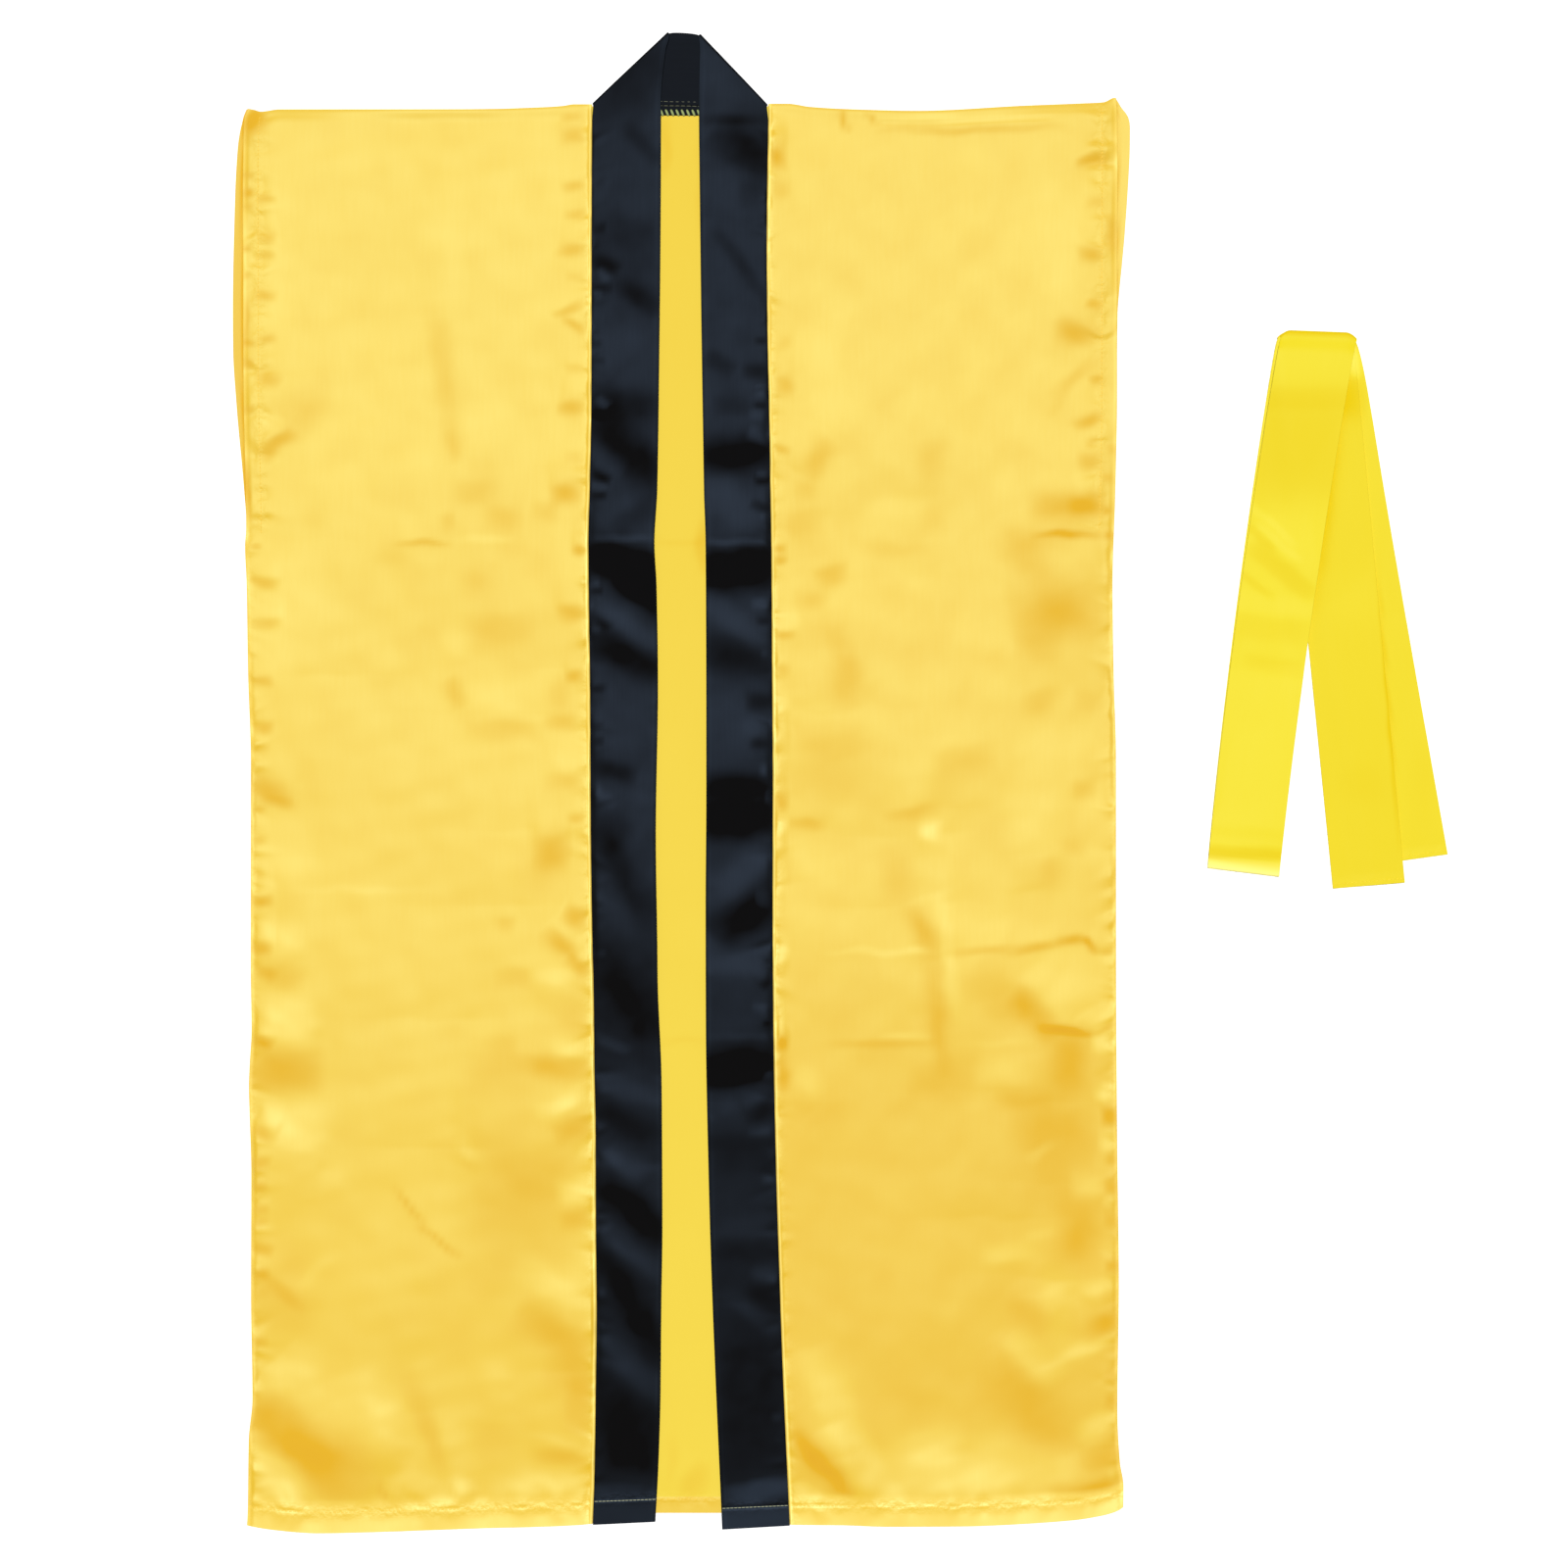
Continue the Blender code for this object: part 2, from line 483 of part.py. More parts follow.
def make_back(material):
    """Back panel: one flat width, its neckline cut a little below the shoulder line."""
    right_foot = RIGHT_MITRE_FOOT[0]
    left_foot = LEFT_MITRE_FOOT[0]
    neck = np.array((right_foot - NECK_CORNER, right_foot, 0.0, left_foot, left_foot + NECK_CORNER))
    right_end = RIGHT_SIDE[0].side
    neck = (neck + right_end) / (right_end + LEFT_SIDE[0].side)
    shoulder = np.array(BACK_COLUMNS)
    across = np.concatenate((shoulder * neck[0], neck, 1.0 - (1.0 - neck[-1]) * shoulder[::-1]))
    levels = level_rows(SHOULDER_Y, BACK_HEM_Y, BACK_ROW, (ARMHOLE_END_Y,))
    u, y = np.meshgrid(across, levels)
    right = -table_curve(RIGHT_SIDE, "y", "side", y) - table_curve(RIGHT_SIDE, "y", "peek", y)
    left = table_curve(LEFT_SIDE, "y", "side", y) + table_curve(LEFT_SIDE, "y", "peek", y)
    x = right + (left - right) * u
    top = table_curve(SHOULDER_LINE, "x", "y", x)
    neckline = table_curve(NECK_SEAM_LINE, "x", "y", x) - SEAM_GAP
    top = np.where((u > neck[0]) & (u < neck[-1]), neckline, top)
    near_top = np.clip(1.0 - (SHOULDER_Y - y) / EDGE_BLEND, 0.0, 1.0)
    near_hem = np.clip(1.0 - (y - BACK_HEM_Y) / EDGE_BLEND, 0.0, 1.0)
    y = y + (top - SHOULDER_Y) * near_top
    y = y + (table_curve(BACK_HEM_LINE, "x", "y", x) - BACK_HEM_Y) * near_hem
    middle = np.stack((x, y, np.full_like(x, PANEL_WALL / 2.0)), axis=2)[::-1]
    half = PANEL_WALL / 2.0
    return cloth_wall("back_panel", middle, flat_outward(middle), half, half, material)


def make_front(name, side, side_table, band_table, hem_line, phase, material):
    """One front: side is -1 on the wearer's right and +1 on the left."""
    levels = level_rows(SHOULDER_Y, HEM_Y, PANEL_ROW, (UPPER_PACKING_Y, LOWER_PACKING_Y))
    levels = np.array(sorted([*levels, HEM_Y + HEM_DEPTH], reverse=True))
    across = np.array(FRONT_COLUMNS)
    u, y = np.meshgrid(across, levels)
    outer = table_curve(side_table, "y", "side", y)
    inner = table_curve(band_table, "y", "outer", y) + SEAM_GAP
    x = side * (outer + (inner - outer) * u)
    near_top = np.clip(1.0 - (SHOULDER_Y - y) / EDGE_BLEND, 0.0, 1.0)
    near_hem = np.clip(1.0 - (y - HEM_Y) / EDGE_BLEND, 0.0, 1.0)
    y = y + (table_curve(SHOULDER_LINE, "x", "y", x) - SHOULDER_Y) * near_top
    y = y + (table_curve(hem_line, "x", "y", x) - HEM_Y) * near_hem
    from_side = np.abs(side * outer - x)
    from_band = np.abs(x - side * inner)
    height = crease_height(FRONT_CREASES, x, y) * ease(from_side / SIDE_PIN)
    height = height + pucker_height(y, from_side, phase) + pucker_height(y, from_band, phase + math.pi / 2.0)
    height = height * (1.0 - near_top**SHOULDER_PIN_POWER)
    hem = np.where(levels <= HEM_Y + HEM_DEPTH, HEM_RISE, 0.0)[:, None]
    armhole = (levels > ARMHOLE_END_Y)[:, None] & (across[None, :] <= HEM_COLUMN)
    rise = np.maximum(hem, np.where(armhole, HEM_RISE, 0.0))
    z = PANEL_WALL + SEAM_GAP + PANEL_WALL / 2.0 + height
    middle = np.stack((x, y, z), axis=2)
    if side < 0:
        middle = middle[::-1]
        rise = rise[::-1]
    above = PANEL_WALL / 2.0 + rise
    return cloth_wall(name, middle, flat_outward(middle), PANEL_WALL / 2.0, above, material)


def row_between(start, end, across):
    """Points of one row from its start to its end."""
    start = np.asarray(start, dtype=float)
    end = np.asarray(end, dtype=float)
    return start + (end - start) * across[:, None]


def roll_rows(start, end, outward, radius, center_z, from_top):
    """Rows of a half turn of cloth about the line from start to end, which bulges along outward."""
    rows = []
    for step in range(1, ROLL_STEPS):
        turn = math.pi * step / ROLL_STEPS
        lift = math.cos(turn) if from_top else -math.cos(turn)
        reach = np.array((outward[0], outward[1], 0.0)) * radius * math.sin(turn)
        height = np.array((0.0, 0.0, center_z + radius * lift))
        rows.append((np.array((*start, 0.0)) + reach + height, np.array((*end, 0.0)) + reach + height))
    return rows


def mitre(foot, peak, side):
    """Direction out of a mitre's fold, and the axis that the band turns about there."""
    run = np.subtract(peak, foot)
    run = run / np.linalg.norm(run)
    outward = np.array((-run[1], run[0])) * -side
    setback = outward * (MITRE_RADIUS + BAND_WALL / 2.0)
    return outward, np.subtract(foot, setback), np.subtract(peak, setback)


def band_leg(side, table, end_line, axis_foot, axis_peak, across):
    """Rows of one leg of the collar band, from its hem up to its mitre, turning towards the fold."""
    outer_end = (end_line.left_x, end_line.left_y) if side < 0 else (end_line.right_x, end_line.right_y)
    inner_end = (end_line.right_x, end_line.right_y) if side < 0 else (end_line.left_x, end_line.left_y)
    levels = level_rows(MITRE_TURN_START_Y, HEM_Y, BAND_ROW, (UPPER_PACKING_Y, LOWER_PACKING_Y))[::-1]
    turning = np.linspace(0.0, 1.0, TURNING_ROWS)[1:]
    outer_y = np.concatenate((levels, MITRE_TURN_START_Y + (axis_foot[1] - MITRE_TURN_START_Y) * turning))
    inner_y = np.concatenate((levels, MITRE_TURN_START_Y + (axis_peak[1] - MITRE_TURN_START_Y) * turning))
    near_hem = np.clip(1.0 - (levels - HEM_Y) / EDGE_BLEND, 0.0, 1.0)
    outer_y[: len(levels)] += (outer_end[1] - HEM_Y) * near_hem
    inner_y[: len(levels)] += (inner_end[1] - HEM_Y) * near_hem
    outer_x = side * table_curve(table, "y", "outer", outer_y)
    inner_x = side * table_curve(table, "y", "inner", inner_y)
    outer_x[-1] = axis_foot[0]
    inner_x[-1] = axis_peak[0]
    x = outer_x[:, None] + (inner_x - outer_x)[:, None] * across
    y = outer_y[:, None] + (inner_y - outer_y)[:, None] * across
    start, stop = BAND_RAMP_Y
    ramp = ease((y - start) / (stop - start))
    folds = crease_height(BAND_CREASES, x, y)
    before_neck = 1.0 - ease((y - MITRE_TURN_START_Y) / BAND_CREASE_FADE)
    z = BAND_LOW_Z + (BAND_NECK_Z - BAND_LOW_Z) * ramp + folds * before_neck
    return np.stack((x, y, z), axis=2)


def make_collar(material):
    """Collar band: up one front, folded under along a mitre, across the neck and down the other front."""
    across = np.array(BAND_COLUMNS)
    right_out, right_foot, right_peak = mitre(RIGHT_MITRE_FOOT, RIGHT_MITRE_PEAK, -1)
    left_out, left_foot, left_peak = mitre(LEFT_MITRE_FOOT, LEFT_MITRE_PEAK, 1)
    center_z = (BAND_NECK_Z + NECK_STRIP_Z) / 2.0
    rows = list(band_leg(-1, RIGHT_BAND, RIGHT_BAND_END, right_foot, right_peak, across))
    for start, end in roll_rows(right_foot, right_peak, right_out, MITRE_RADIUS, center_z, True):
        rows.append(row_between(start, end, across))
    for step in np.linspace(0.0, 1.0, NECK_ROWS):
        foot = right_foot + (left_foot - right_foot) * step
        peak = right_peak + (left_peak - right_peak) * step
        rows.append(row_between((*foot, NECK_STRIP_Z), (*peak, NECK_STRIP_Z), across))
    for start, end in roll_rows(left_foot, left_peak, left_out, MITRE_RADIUS, center_z, False):
        rows.append(row_between(start, end, across))
    rows.extend(band_leg(1, LEFT_BAND, LEFT_BAND_END, left_foot, left_peak, across)[::-1])
    middle = np.array(rows)
    half = BAND_WALL / 2.0
    return cloth_wall("collar_band", middle, square_to_rows(middle), half, half, material)


def make_allowance(material):
    """Neck seam allowance: it lies down over the inside of the back, below the neck seam."""
    start = RIGHT_MITRE_FOOT[0] + ALLOWANCE_INSET
    end = LEFT_MITRE_FOOT[0] - ALLOWANCE_INSET
    x = np.linspace(start, end, ALLOWANCE_COLUMNS)
    grid_x, depth = np.meshgrid(x, np.linspace(ALLOWANCE_DEPTH, 0.0, ALLOWANCE_ROWS))
    grid_y = table_curve(NECK_SEAM_LINE, "x", "y", grid_x) - SEAM_GAP - depth
    level = PANEL_WALL + SEAM_GAP + ALLOWANCE_WALL / 2.0
    middle = np.stack((grid_x, grid_y, np.full_like(grid_x, level)), axis=2)
    half = ALLOWANCE_WALL / 2.0
    return cloth_wall("neck_seam_allowance", middle, flat_outward(middle), half, half, material)


def drape_step(foot, head, x, y):
    """Soft step up onto the cloth that lies right of the line from foot to head."""
    run = np.subtract(head, foot)
    run = run / np.linalg.norm(run)
    inside = (x - foot[0]) * run[1] - (y - foot[1]) * run[0]
    return ease((inside + DRAPE_LENGTH + DRAPE_CLEARANCE) / DRAPE_LENGTH)


def corners_back(across):
    """How far the rounded corners of the top folds lie back from their straight line."""
    from_edge = np.minimum(across, 1.0 - across) * math.dist(TOP_FOLD[:2], TOP_FOLD[2:])
    return CORNER_PULL * np.clip(1.0 - from_edge / CORNER_REACH, 0.0, 1.0) ** 2


def belt_leg(start, end, across, bow, skew, from_top):
    """Plan points of one leg of the belt, in rows from one turn line to the next, with its sides bowed."""
    length = math.dist((start.left_x, start.left_y), (end.left_x, end.left_y))
    run = np.linspace(0.0, 1.0, round(length / BELT_ROW) + 1)[:, None]
    left_x = start.left_x + (end.left_x - start.left_x) * run
    left_y = start.left_y + (end.left_y - start.left_y) * run
    right_x = start.right_x + (end.right_x - start.right_x) * run
    right_y = start.right_y + (end.right_y - start.right_y) * run
    x = left_x + (right_x - left_x) * across + bow * np.sin(math.pi * run**skew) ** BOW_FULLNESS
    fade = np.exp(-(run if from_top else 1.0 - run) * length / CORNER_FADE)
    y = left_y + (right_y - left_y) * across - corners_back(across) * fade
    return x, y


def line_out(line):
    """Unit direction square to a turn line, on the side of the neck."""
    run = np.array((line.right_x - line.left_x, line.right_y - line.left_y))
    run = run / np.linalg.norm(run)
    return np.array((-run[1], run[0]))


def moved_line(line, along, outward):
    """A turn line moved along itself and square to itself."""
    out = line_out(line)
    step = np.array((out[1], -out[0])) * along + out * outward
    left = np.array((line.left_x, line.left_y)) + step
    right = np.array((line.right_x, line.right_y)) + step
    return TurnLine(*left, *right)


def make_belt(material):
    """Belt: right leg on the surface, over the top fold, down the left leg, back up and down the middle."""
    across = np.array(BELT_COLUMNS)
    half = BELT_WALL / 2.0
    pitch = BELT_WALL + BELT_LAYER_GAP
    outer_radius = 1.5 * pitch
    inner_radius = 0.5 * pitch
    stack_z = half + 1.5 * pitch
    axis = moved_line(TOP_FOLD, 0.0, -(outer_radius + half))
    inner_axis = moved_line(axis, -INNER_FOLD_SHIFT, 0.0)
    lower_axis = moved_line(LEFT_LEG_FOLD, 0.0, LOWER_FOLD_RADIUS + half)
    right_edge = ((RIGHT_LEG_END.left_x, RIGHT_LEG_END.left_y), (axis.left_x, axis.left_y))
    middle_edge = ((MIDDLE_LEG_END.left_x, MIDDLE_LEG_END.left_y), (inner_axis.left_x, inner_axis.left_y))

    right_x, right_y = belt_leg(RIGHT_LEG_END, axis, across, RIGHT_LEG_BOW, RIGHT_LEG_BOW_SKEW, False)
    right_leg = np.stack((right_x, right_y, np.full_like(right_x, half)), axis=2)

    down_x, down_y = belt_leg(axis, lower_axis, across, LEFT_LEG_BOW, 1.0, True)
    over_two = drape_step(*right_edge, down_x, down_y) + drape_step(*middle_edge, down_x, down_y)
    under_z = half + pitch * over_two
    puff = ease(1.0 - (down_y - down_y[-1]) / LOWER_FOLD_PUFF_LENGTH)
    over_z = under_z + pitch + (2.0 * LOWER_FOLD_RADIUS - pitch) * puff
    left_top = np.stack((down_x, down_y, over_z), axis=2)

    up_x, up_y = belt_leg(lower_axis, inner_axis, across, LEFT_LEG_BOW, 1.0, False)
    over_two = drape_step(*right_edge, up_x, up_y) + drape_step(*middle_edge, up_x, up_y)
    up_z = half + pitch * over_two
    left_under = np.stack((up_x, up_y, up_z), axis=2)

    mid_x, mid_y = belt_leg(inner_axis, MIDDLE_LEG_END, across, 0.0, 1.0, True)
    mid_z = half + pitch * drape_step(*right_edge, mid_x, mid_y)
    middle_leg = np.stack((mid_x, mid_y, mid_z), axis=2)

    rows = list(right_leg)
    back = np.zeros((len(across), 3))
    back[:, 1] = corners_back(across)
    square = np.zeros_like(back)
    lower_z = half + LOWER_FOLD_RADIUS
    rolls = (
        (axis, line_out(axis), outer_radius, stack_z, False, back, left_top),
        (lower_axis, -line_out(lower_axis), LOWER_FOLD_RADIUS, lower_z, True, square, left_under),
        (inner_axis, line_out(inner_axis), inner_radius, stack_z, True, back, middle_leg),
    )
    for line, outward, radius, center_z, from_top, corners, leg in rolls:
        start = (line.left_x, line.left_y)
        end = (line.right_x, line.right_y)
        for first, last in roll_rows(start, end, outward, radius, center_z, from_top):
            rows.append(row_between(first, last, across) - corners)
        rows.extend(leg)
    middle = np.array(rows)
    return cloth_wall("belt", middle, square_to_rows(middle), half, half, material)


def main():
    for old in list(bpy.data.objects):
        bpy.data.objects.remove(old, do_unlink=True)
    make_back(satin("golden satin, wrong side", GOLDEN, INSIDE_ROUGHNESS))
    right_satin = satin("golden satin, right front", GOLDEN, SATIN_ROUGHNESS)
    make_front("right_front", -1, RIGHT_SIDE, RIGHT_BAND, RIGHT_HEM_LINE, RIGHT_PHASE, right_satin)
    left_satin = satin("golden satin, left front", GOLDEN, SATIN_ROUGHNESS)
    make_front("left_front", 1, LEFT_SIDE, LEFT_BAND, LEFT_HEM_LINE, LEFT_PHASE, left_satin)
    make_collar(satin("black satin", BLACK, SATIN_ROUGHNESS))
    make_allowance(satin("black satin, overlocked", BLACK, OVERLOCK_ROUGHNESS))
    make_belt(satin("lemon satin", LEMON, SATIN_ROUGHNESS))


main()
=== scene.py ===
import math

import bpy
import numpy as np
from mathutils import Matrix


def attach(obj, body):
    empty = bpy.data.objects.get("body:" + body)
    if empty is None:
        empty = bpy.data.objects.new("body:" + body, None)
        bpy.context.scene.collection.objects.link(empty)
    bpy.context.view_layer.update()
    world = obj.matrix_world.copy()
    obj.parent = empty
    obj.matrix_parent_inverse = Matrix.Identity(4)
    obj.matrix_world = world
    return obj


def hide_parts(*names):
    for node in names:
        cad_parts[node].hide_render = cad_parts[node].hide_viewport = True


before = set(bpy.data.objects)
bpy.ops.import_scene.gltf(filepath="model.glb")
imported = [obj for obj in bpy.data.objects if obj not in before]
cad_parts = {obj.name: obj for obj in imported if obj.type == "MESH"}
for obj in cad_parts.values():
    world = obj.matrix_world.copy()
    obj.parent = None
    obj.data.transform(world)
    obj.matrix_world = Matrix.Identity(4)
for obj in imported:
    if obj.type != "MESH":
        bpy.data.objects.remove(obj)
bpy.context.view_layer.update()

print("frame loaded:", len(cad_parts), "nodes")

# Sizes are in millimetres, in the frame of the model: +X to the wearer's left, +Y to the neck, +Z up.
mm = 0.001

coat = dict(
    shoulderY=498.0, hemY=-502.0, armholeEndY=196.0, backHemY=-492.2, edgeBlend=70.0,
    shoulder=dict(
        x=(-311, -306.5, -302, -297, -284, -160, -130, -110, -95, -84, -77, -64, 60, 74, 80, 88, 118, 165,
           240, 280, 296, 303.8, 307, 310, 315),
        y=(494, 495.6, 494.9, 493.6, 495.2, 495.3, 495.6, 496.3, 496.9, 497.7, 498.8, 498.8, 499.2, 499.2,
           498.5, 497.1, 495.3, 494.2, 497.8, 499.4, 500.2, 503.4, 499.7, 498.2, 498)),
    backHem=dict(x=(-308, 240, 284, 299, 310), y=(-492.3, -492.2, -491.2, -489.4, -486.4)),
    neckSeam=dict(x=(-67, 62), y=(497.6, 496.7)),
)
# Each half: the front's outer edge and how far the back peeks past it, the band's two edges as distances
# from the centre line, the hem line, the band's end and the diagonal on which the band folds under.
rightHalf = dict(
    sign=-1,
    side=dict(
        y=(500, 491, 484, 470, 435, 350, 326, 290, 228, 201, 188, 162, 100, 36, -109, -152, -178, -192,
           -208, -254, -337, -412, -441, -496, -510),
        edge=(305.2, 308.6, 309, 309.2, 309.6, 309.4, 309.3, 309, 307.6, 307.2, 308, 306.9, 305.9, 303.9,
              304, 303.4, 304.8, 305.3, 304.9, 303.6, 303.8, 302.8, 305.4, 306.2, 307.2),
        peek=(1, 1.3, 2.6, 4.2, 5.6, 7.4, 7.3, 5.4, 1.3, 0, 0, 0, 0, 0, 0, 0, 0, 0, 0, 0, 0, 0, 0, 0, 0)),
    band=dict(
        y=(549, 500, 435, 297, 228, 191, 160, 90, -14, -97, -117, -186, -217, -290, -350, -407, -459, -505),
        outer=(63.8, 63.8, 64, 64.2, 65.4, 66.3, 66.1, 65.2, 64.6, 63.4, 62.8, 62, 61.3, 61.1, 60.5, 61.2,
               61.9, 63.4),
        inner=(10.9, 15.6, 15.8, 17.2, 18.3, 20.3, 18.8, 17.8, 19.3, 18.2, 18, 15.3, 15, 14.7, 15.5, 16,
               17.5, 20.1)),
    hem=dict(x=(-308, -288, -256, -222, -156, -131, -106, -73, -65),
             y=(-500.4, -503.6, -506.1, -505.4, -503.1, -502.4, -501.8, -500.3, -499.5)),
    # tone darkens the whole front, lowTone and bandLowTone are painted shade towards the hem, and hemGlow is
    # a painted highlight on the front's hem strip
    bandEnd=dict(outer=(-63.4, -500.3), inner=(-20.9, -498.2)), bandHem=17.6, tone=0.0, lowTone=0.0,
    hemTone=-0.8, hemGlow=0.15, bandHemTone=-0.4, bandLowTone=0.25,
    mitreFoot=(-63.8, 499.6), mitrePeak=(-10.9, 549.6),
)
leftHalf = dict(
    sign=1,
    side=dict(
        y=(505, 500, 497.4, 493.3, 489, 484, 470, 450, 407, 387, 367, 352, 297, 228, 160, 98, 40, -109,
           -233, -330, -419, -461, -484, -510),
        edge=(304.6, 304.7, 304.8, 305.1, 305.3, 305.4, 305.5, 305.7, 305.4, 305.3, 305.3, 305.3, 305.3,
              304.1, 302.1, 302.9, 304.5, 304.6, 305.4, 306.5, 305.5, 307.2, 309.8, 309.4),
        peek=(0, .4, 2.3, 6.1, 8.3, 9.1, 8.9, 7.9, 5.3, 3.6, 1.6, .5, 0, 0, 0, 0, 0, 0, 0, 0, 0, 0, 0, 0)),
    band=dict(
        y=(549, 500, 435, 400, 350, 262, 225, 191, 100, 21, -70, -150, -255, -324, -393, -505),
        outer=(60.2, 60, 59, 58.7, 59.1, 60.8, 61.3, 61.9, 62.5, 63, 62.9, 63.4, 65.4, 67.6, 70, 75.1),
        inner=(12.4, 11.4, 12, 12.4, 13, 14.4, 15, 16.1, 16.5, 16.6, 16.1, 16.3, 18.2, 20.2, 22.9, 27.8)),
    hem=dict(x=(75, 110, 143, 195, 242, 275, 292, 299, 306, 310.5),
             y=(-500.1, -500.4, -501.4, -501.1, -499.2, -496.8, -494.2, -492.6, -490.1, -487.3)),
    # as in rightHalf: lowTone and bandLowTone are painted shade towards the hem, hemGlow a painted highlight
    # on the hem strip
    bandEnd=dict(outer=(74.9, -500.9), inner=(27.8, -503.6)), bandHem=14.6, tone=0.1, lowTone=0.3,
    hemTone=-1.3, hemGlow=0.2, bandHemTone=-0.85, bandLowTone=0.35,
    mitreFoot=(59.6, 498.8), mitrePeak=(12.4, 548.3),
)


def curve(table, place, value, at):
    # a smooth cubic through the table's points, with no overshoot: slopes are harmonic means of the chords
    places, values = np.array(table[place], dtype=float), np.array(table[value], dtype=float)
    order = np.argsort(places)
    places, values = places[order], values[order]
    chords = np.diff(values) / np.diff(places)
    product = chords[:-1] * chords[1:]
    total = np.where(product > 0, chords[:-1] + chords[1:], 1.0)
    slopes = np.concatenate((chords[:1], np.where(product > 0, 2 * product / total, 0), chords[-1:]))
    at = np.clip(at, places[0], places[-1])
    span = np.clip(np.searchsorted(places, at, side="right") - 1, 0, len(places) - 2)
    width = places[span + 1] - places[span]
    s = (at - places[span]) / width
    rise = values[span + 1] - values[span]
    start, end = slopes[span] * width, slopes[span + 1] * width
    return values[span] + s * start + s**2 * (3 * rise - 2 * start - end) + s**3 * (start + end - 2 * rise)


def ease(amount):
    # a soft step from 0 to 1: 3t^2 - 2t^3
    amount = np.clip(amount, 0, 1)
    return amount * amount * (3 - 2 * amount)


def bell(distance, width):
    # a soft peak of height 1: exp(-(distance / width)^2)
    return np.exp(-(distance / width) ** 2)


def steps(*marks):
    # levels along a line: the marks are a start, then a spacing and the next mark, again and again
    levels = []
    for low, spacing, high in zip(marks[0:-2:2], marks[1:-1:2], marks[2::2]):
        count = max(1, round(abs(high - low) / spacing))
        levels.append(np.linspace(low, high, count, endpoint=False))
    return np.concatenate(levels + [np.array(marks[-1:], dtype=float)])


def towards(start, end):
    # unit direction from one plan point to another
    return np.subtract(end, start) / np.linalg.norm(np.subtract(end, start))


def lengthAlong(path):
    # distance travelled along a path, at each of its points
    return np.concatenate(([0], np.cumsum(np.linalg.norm(np.diff(path, axis=0), axis=1))))


def waves(x, y, seed, shortest, longest, count=14):
    # slow undulation: a sum of sine waves whose directions, lengths and phases are drawn from one seed
    draw = np.random.default_rng(seed)
    total = np.zeros_like(x)
    for _ in range(count):
        length = draw.uniform(shortest, longest)
        turn = draw.uniform(0, math.pi)
        phase = draw.uniform(0, 2 * math.pi)
        place = 2 * math.pi * (x * math.cos(turn) + y * math.sin(turn)) / length + phase
        total += length / longest * np.sin(place)
    return total / math.sqrt(count)


# steep and gentle are the widths of a crease's two flanks, as shares of the mark's width
creaseShape = dict(steep=1.1, gentle=2.4, power=1.7, wanderLength=(11, 44), wanderWaves=18)


def foldsAt(marks, x, y, seed, wander=1.7, lift=0.12, highest=4.6, edge=2.4, fading=2):
    # A mark is a dark place, where the cloth falls away from the light, or with a negative strength a light
    # one, where it leans to it. Its tone is strength * exp(-|across / width|^edge), faded along its length.
    # Its ridge stands at its edge, on the neck side of a dark mark and on the hem side of a light one, steep
    # at the mark and gentle beyond, lift * width * strength high; the sum is eased into its highest value.
    # The places wander by slow waves, so that no mark has a regular shape.
    # a positive tone is painted shade in the cloth's colour
    wandering = (*creaseShape["wanderLength"], creaseShape["wanderWaves"])
    x, y = x + wander * waves(x, y, seed, *wandering), y + wander * waves(x, y, seed + 1, *wandering)
    height, tone = np.zeros_like(x), np.zeros_like(x)
    for cx, cy, angle, length, width, strength in marks:
        turn = math.radians(angle)
        along = (x - cx) * math.cos(turn) + (y - cy) * math.sin(turn)
        across = (y - cy) * math.cos(turn) - (x - cx) * math.sin(turn)
        fade = np.clip(1 - np.abs(2 * along / length) ** fading, 0, 1)
        tone += strength * fade * np.exp(-np.abs(across / width) ** edge)
        fromCrest = across * math.copysign(1, strength) - width
        reach = np.where(fromCrest > 0, creaseShape["gentle"], creaseShape["steep"]) * width
        ridge = np.exp(-np.abs(fromCrest / reach) ** creaseShape["power"])
        height += abs(strength) * lift * width * fade * ridge
    return highest * np.tanh(height / highest), tone


# each pair is the lowest and highest of a draw: spacing, peak and size are shares, upper and lower are mm
puckerShape = dict(
    spacing=(0.3, 1.7), peak=(0.5, 1.5), peakPart=3.5, slant=0.55, size=(0.25, 1.0), sizePower=1.3,
    upper=(2.6, 6.5), lower=(1.8, 4.0), power=1.7,
)


def seamPuckers(seed, place, distance, count, low, high, height, reach):
    # short uneven ridges and troughs that run off a seam: each grows as d/p * exp(1 - d/p), narrow across
    shape, draw = puckerShape, np.random.default_rng(seed)
    gaps = draw.uniform(*shape["spacing"], count)
    middles = low + (high - low) * np.cumsum(gaps) / np.sum(gaps)
    total = np.zeros_like(place)
    for middle in middles:
        peak = draw.uniform(*shape["peak"]) * reach / shape["peakPart"]
        slant = draw.uniform(-shape["slant"], shape["slant"])
        size = height * draw.uniform(*shape["size"]) ** shape["sizePower"] * draw.choice((-1, 1))
        upper, lower = draw.uniform(*shape["upper"]), draw.uniform(*shape["lower"])
        offset = place - middle - slant * distance
        width = np.where(offset > 0, upper, lower)
        away = distance / peak
        total += size * away * np.exp(1 - away) * np.exp(-np.abs(offset / width) ** shape["power"])
    return total


def halfTurn(line, outward, radius, centre, across, fromTop, rows, back=0):
    # half a turn of cloth about a line: out by radius * sin(turn), and up or down by radius * cos(turn)
    turns = np.linspace(0, math.pi, rows + 2)[1:-1, None]
    axis = line[0] + (line[1] - line[0]) * across[:, None]
    axis[:, 1] -= back
    lift = np.cos(turns) * radius if fromTop else -np.cos(turns) * radius
    xy = axis[None] + outward * (np.sin(turns) * radius)[..., None]
    z = np.broadcast_to(centre + lift, xy.shape[:2])
    return np.concatenate((xy, z[..., None]), axis=-1)


def addObject(name, data):
    # an object of the scene, at the origin
    made = bpy.data.objects.new(name, data)
    bpy.context.scene.collection.objects.link(made)
    return made


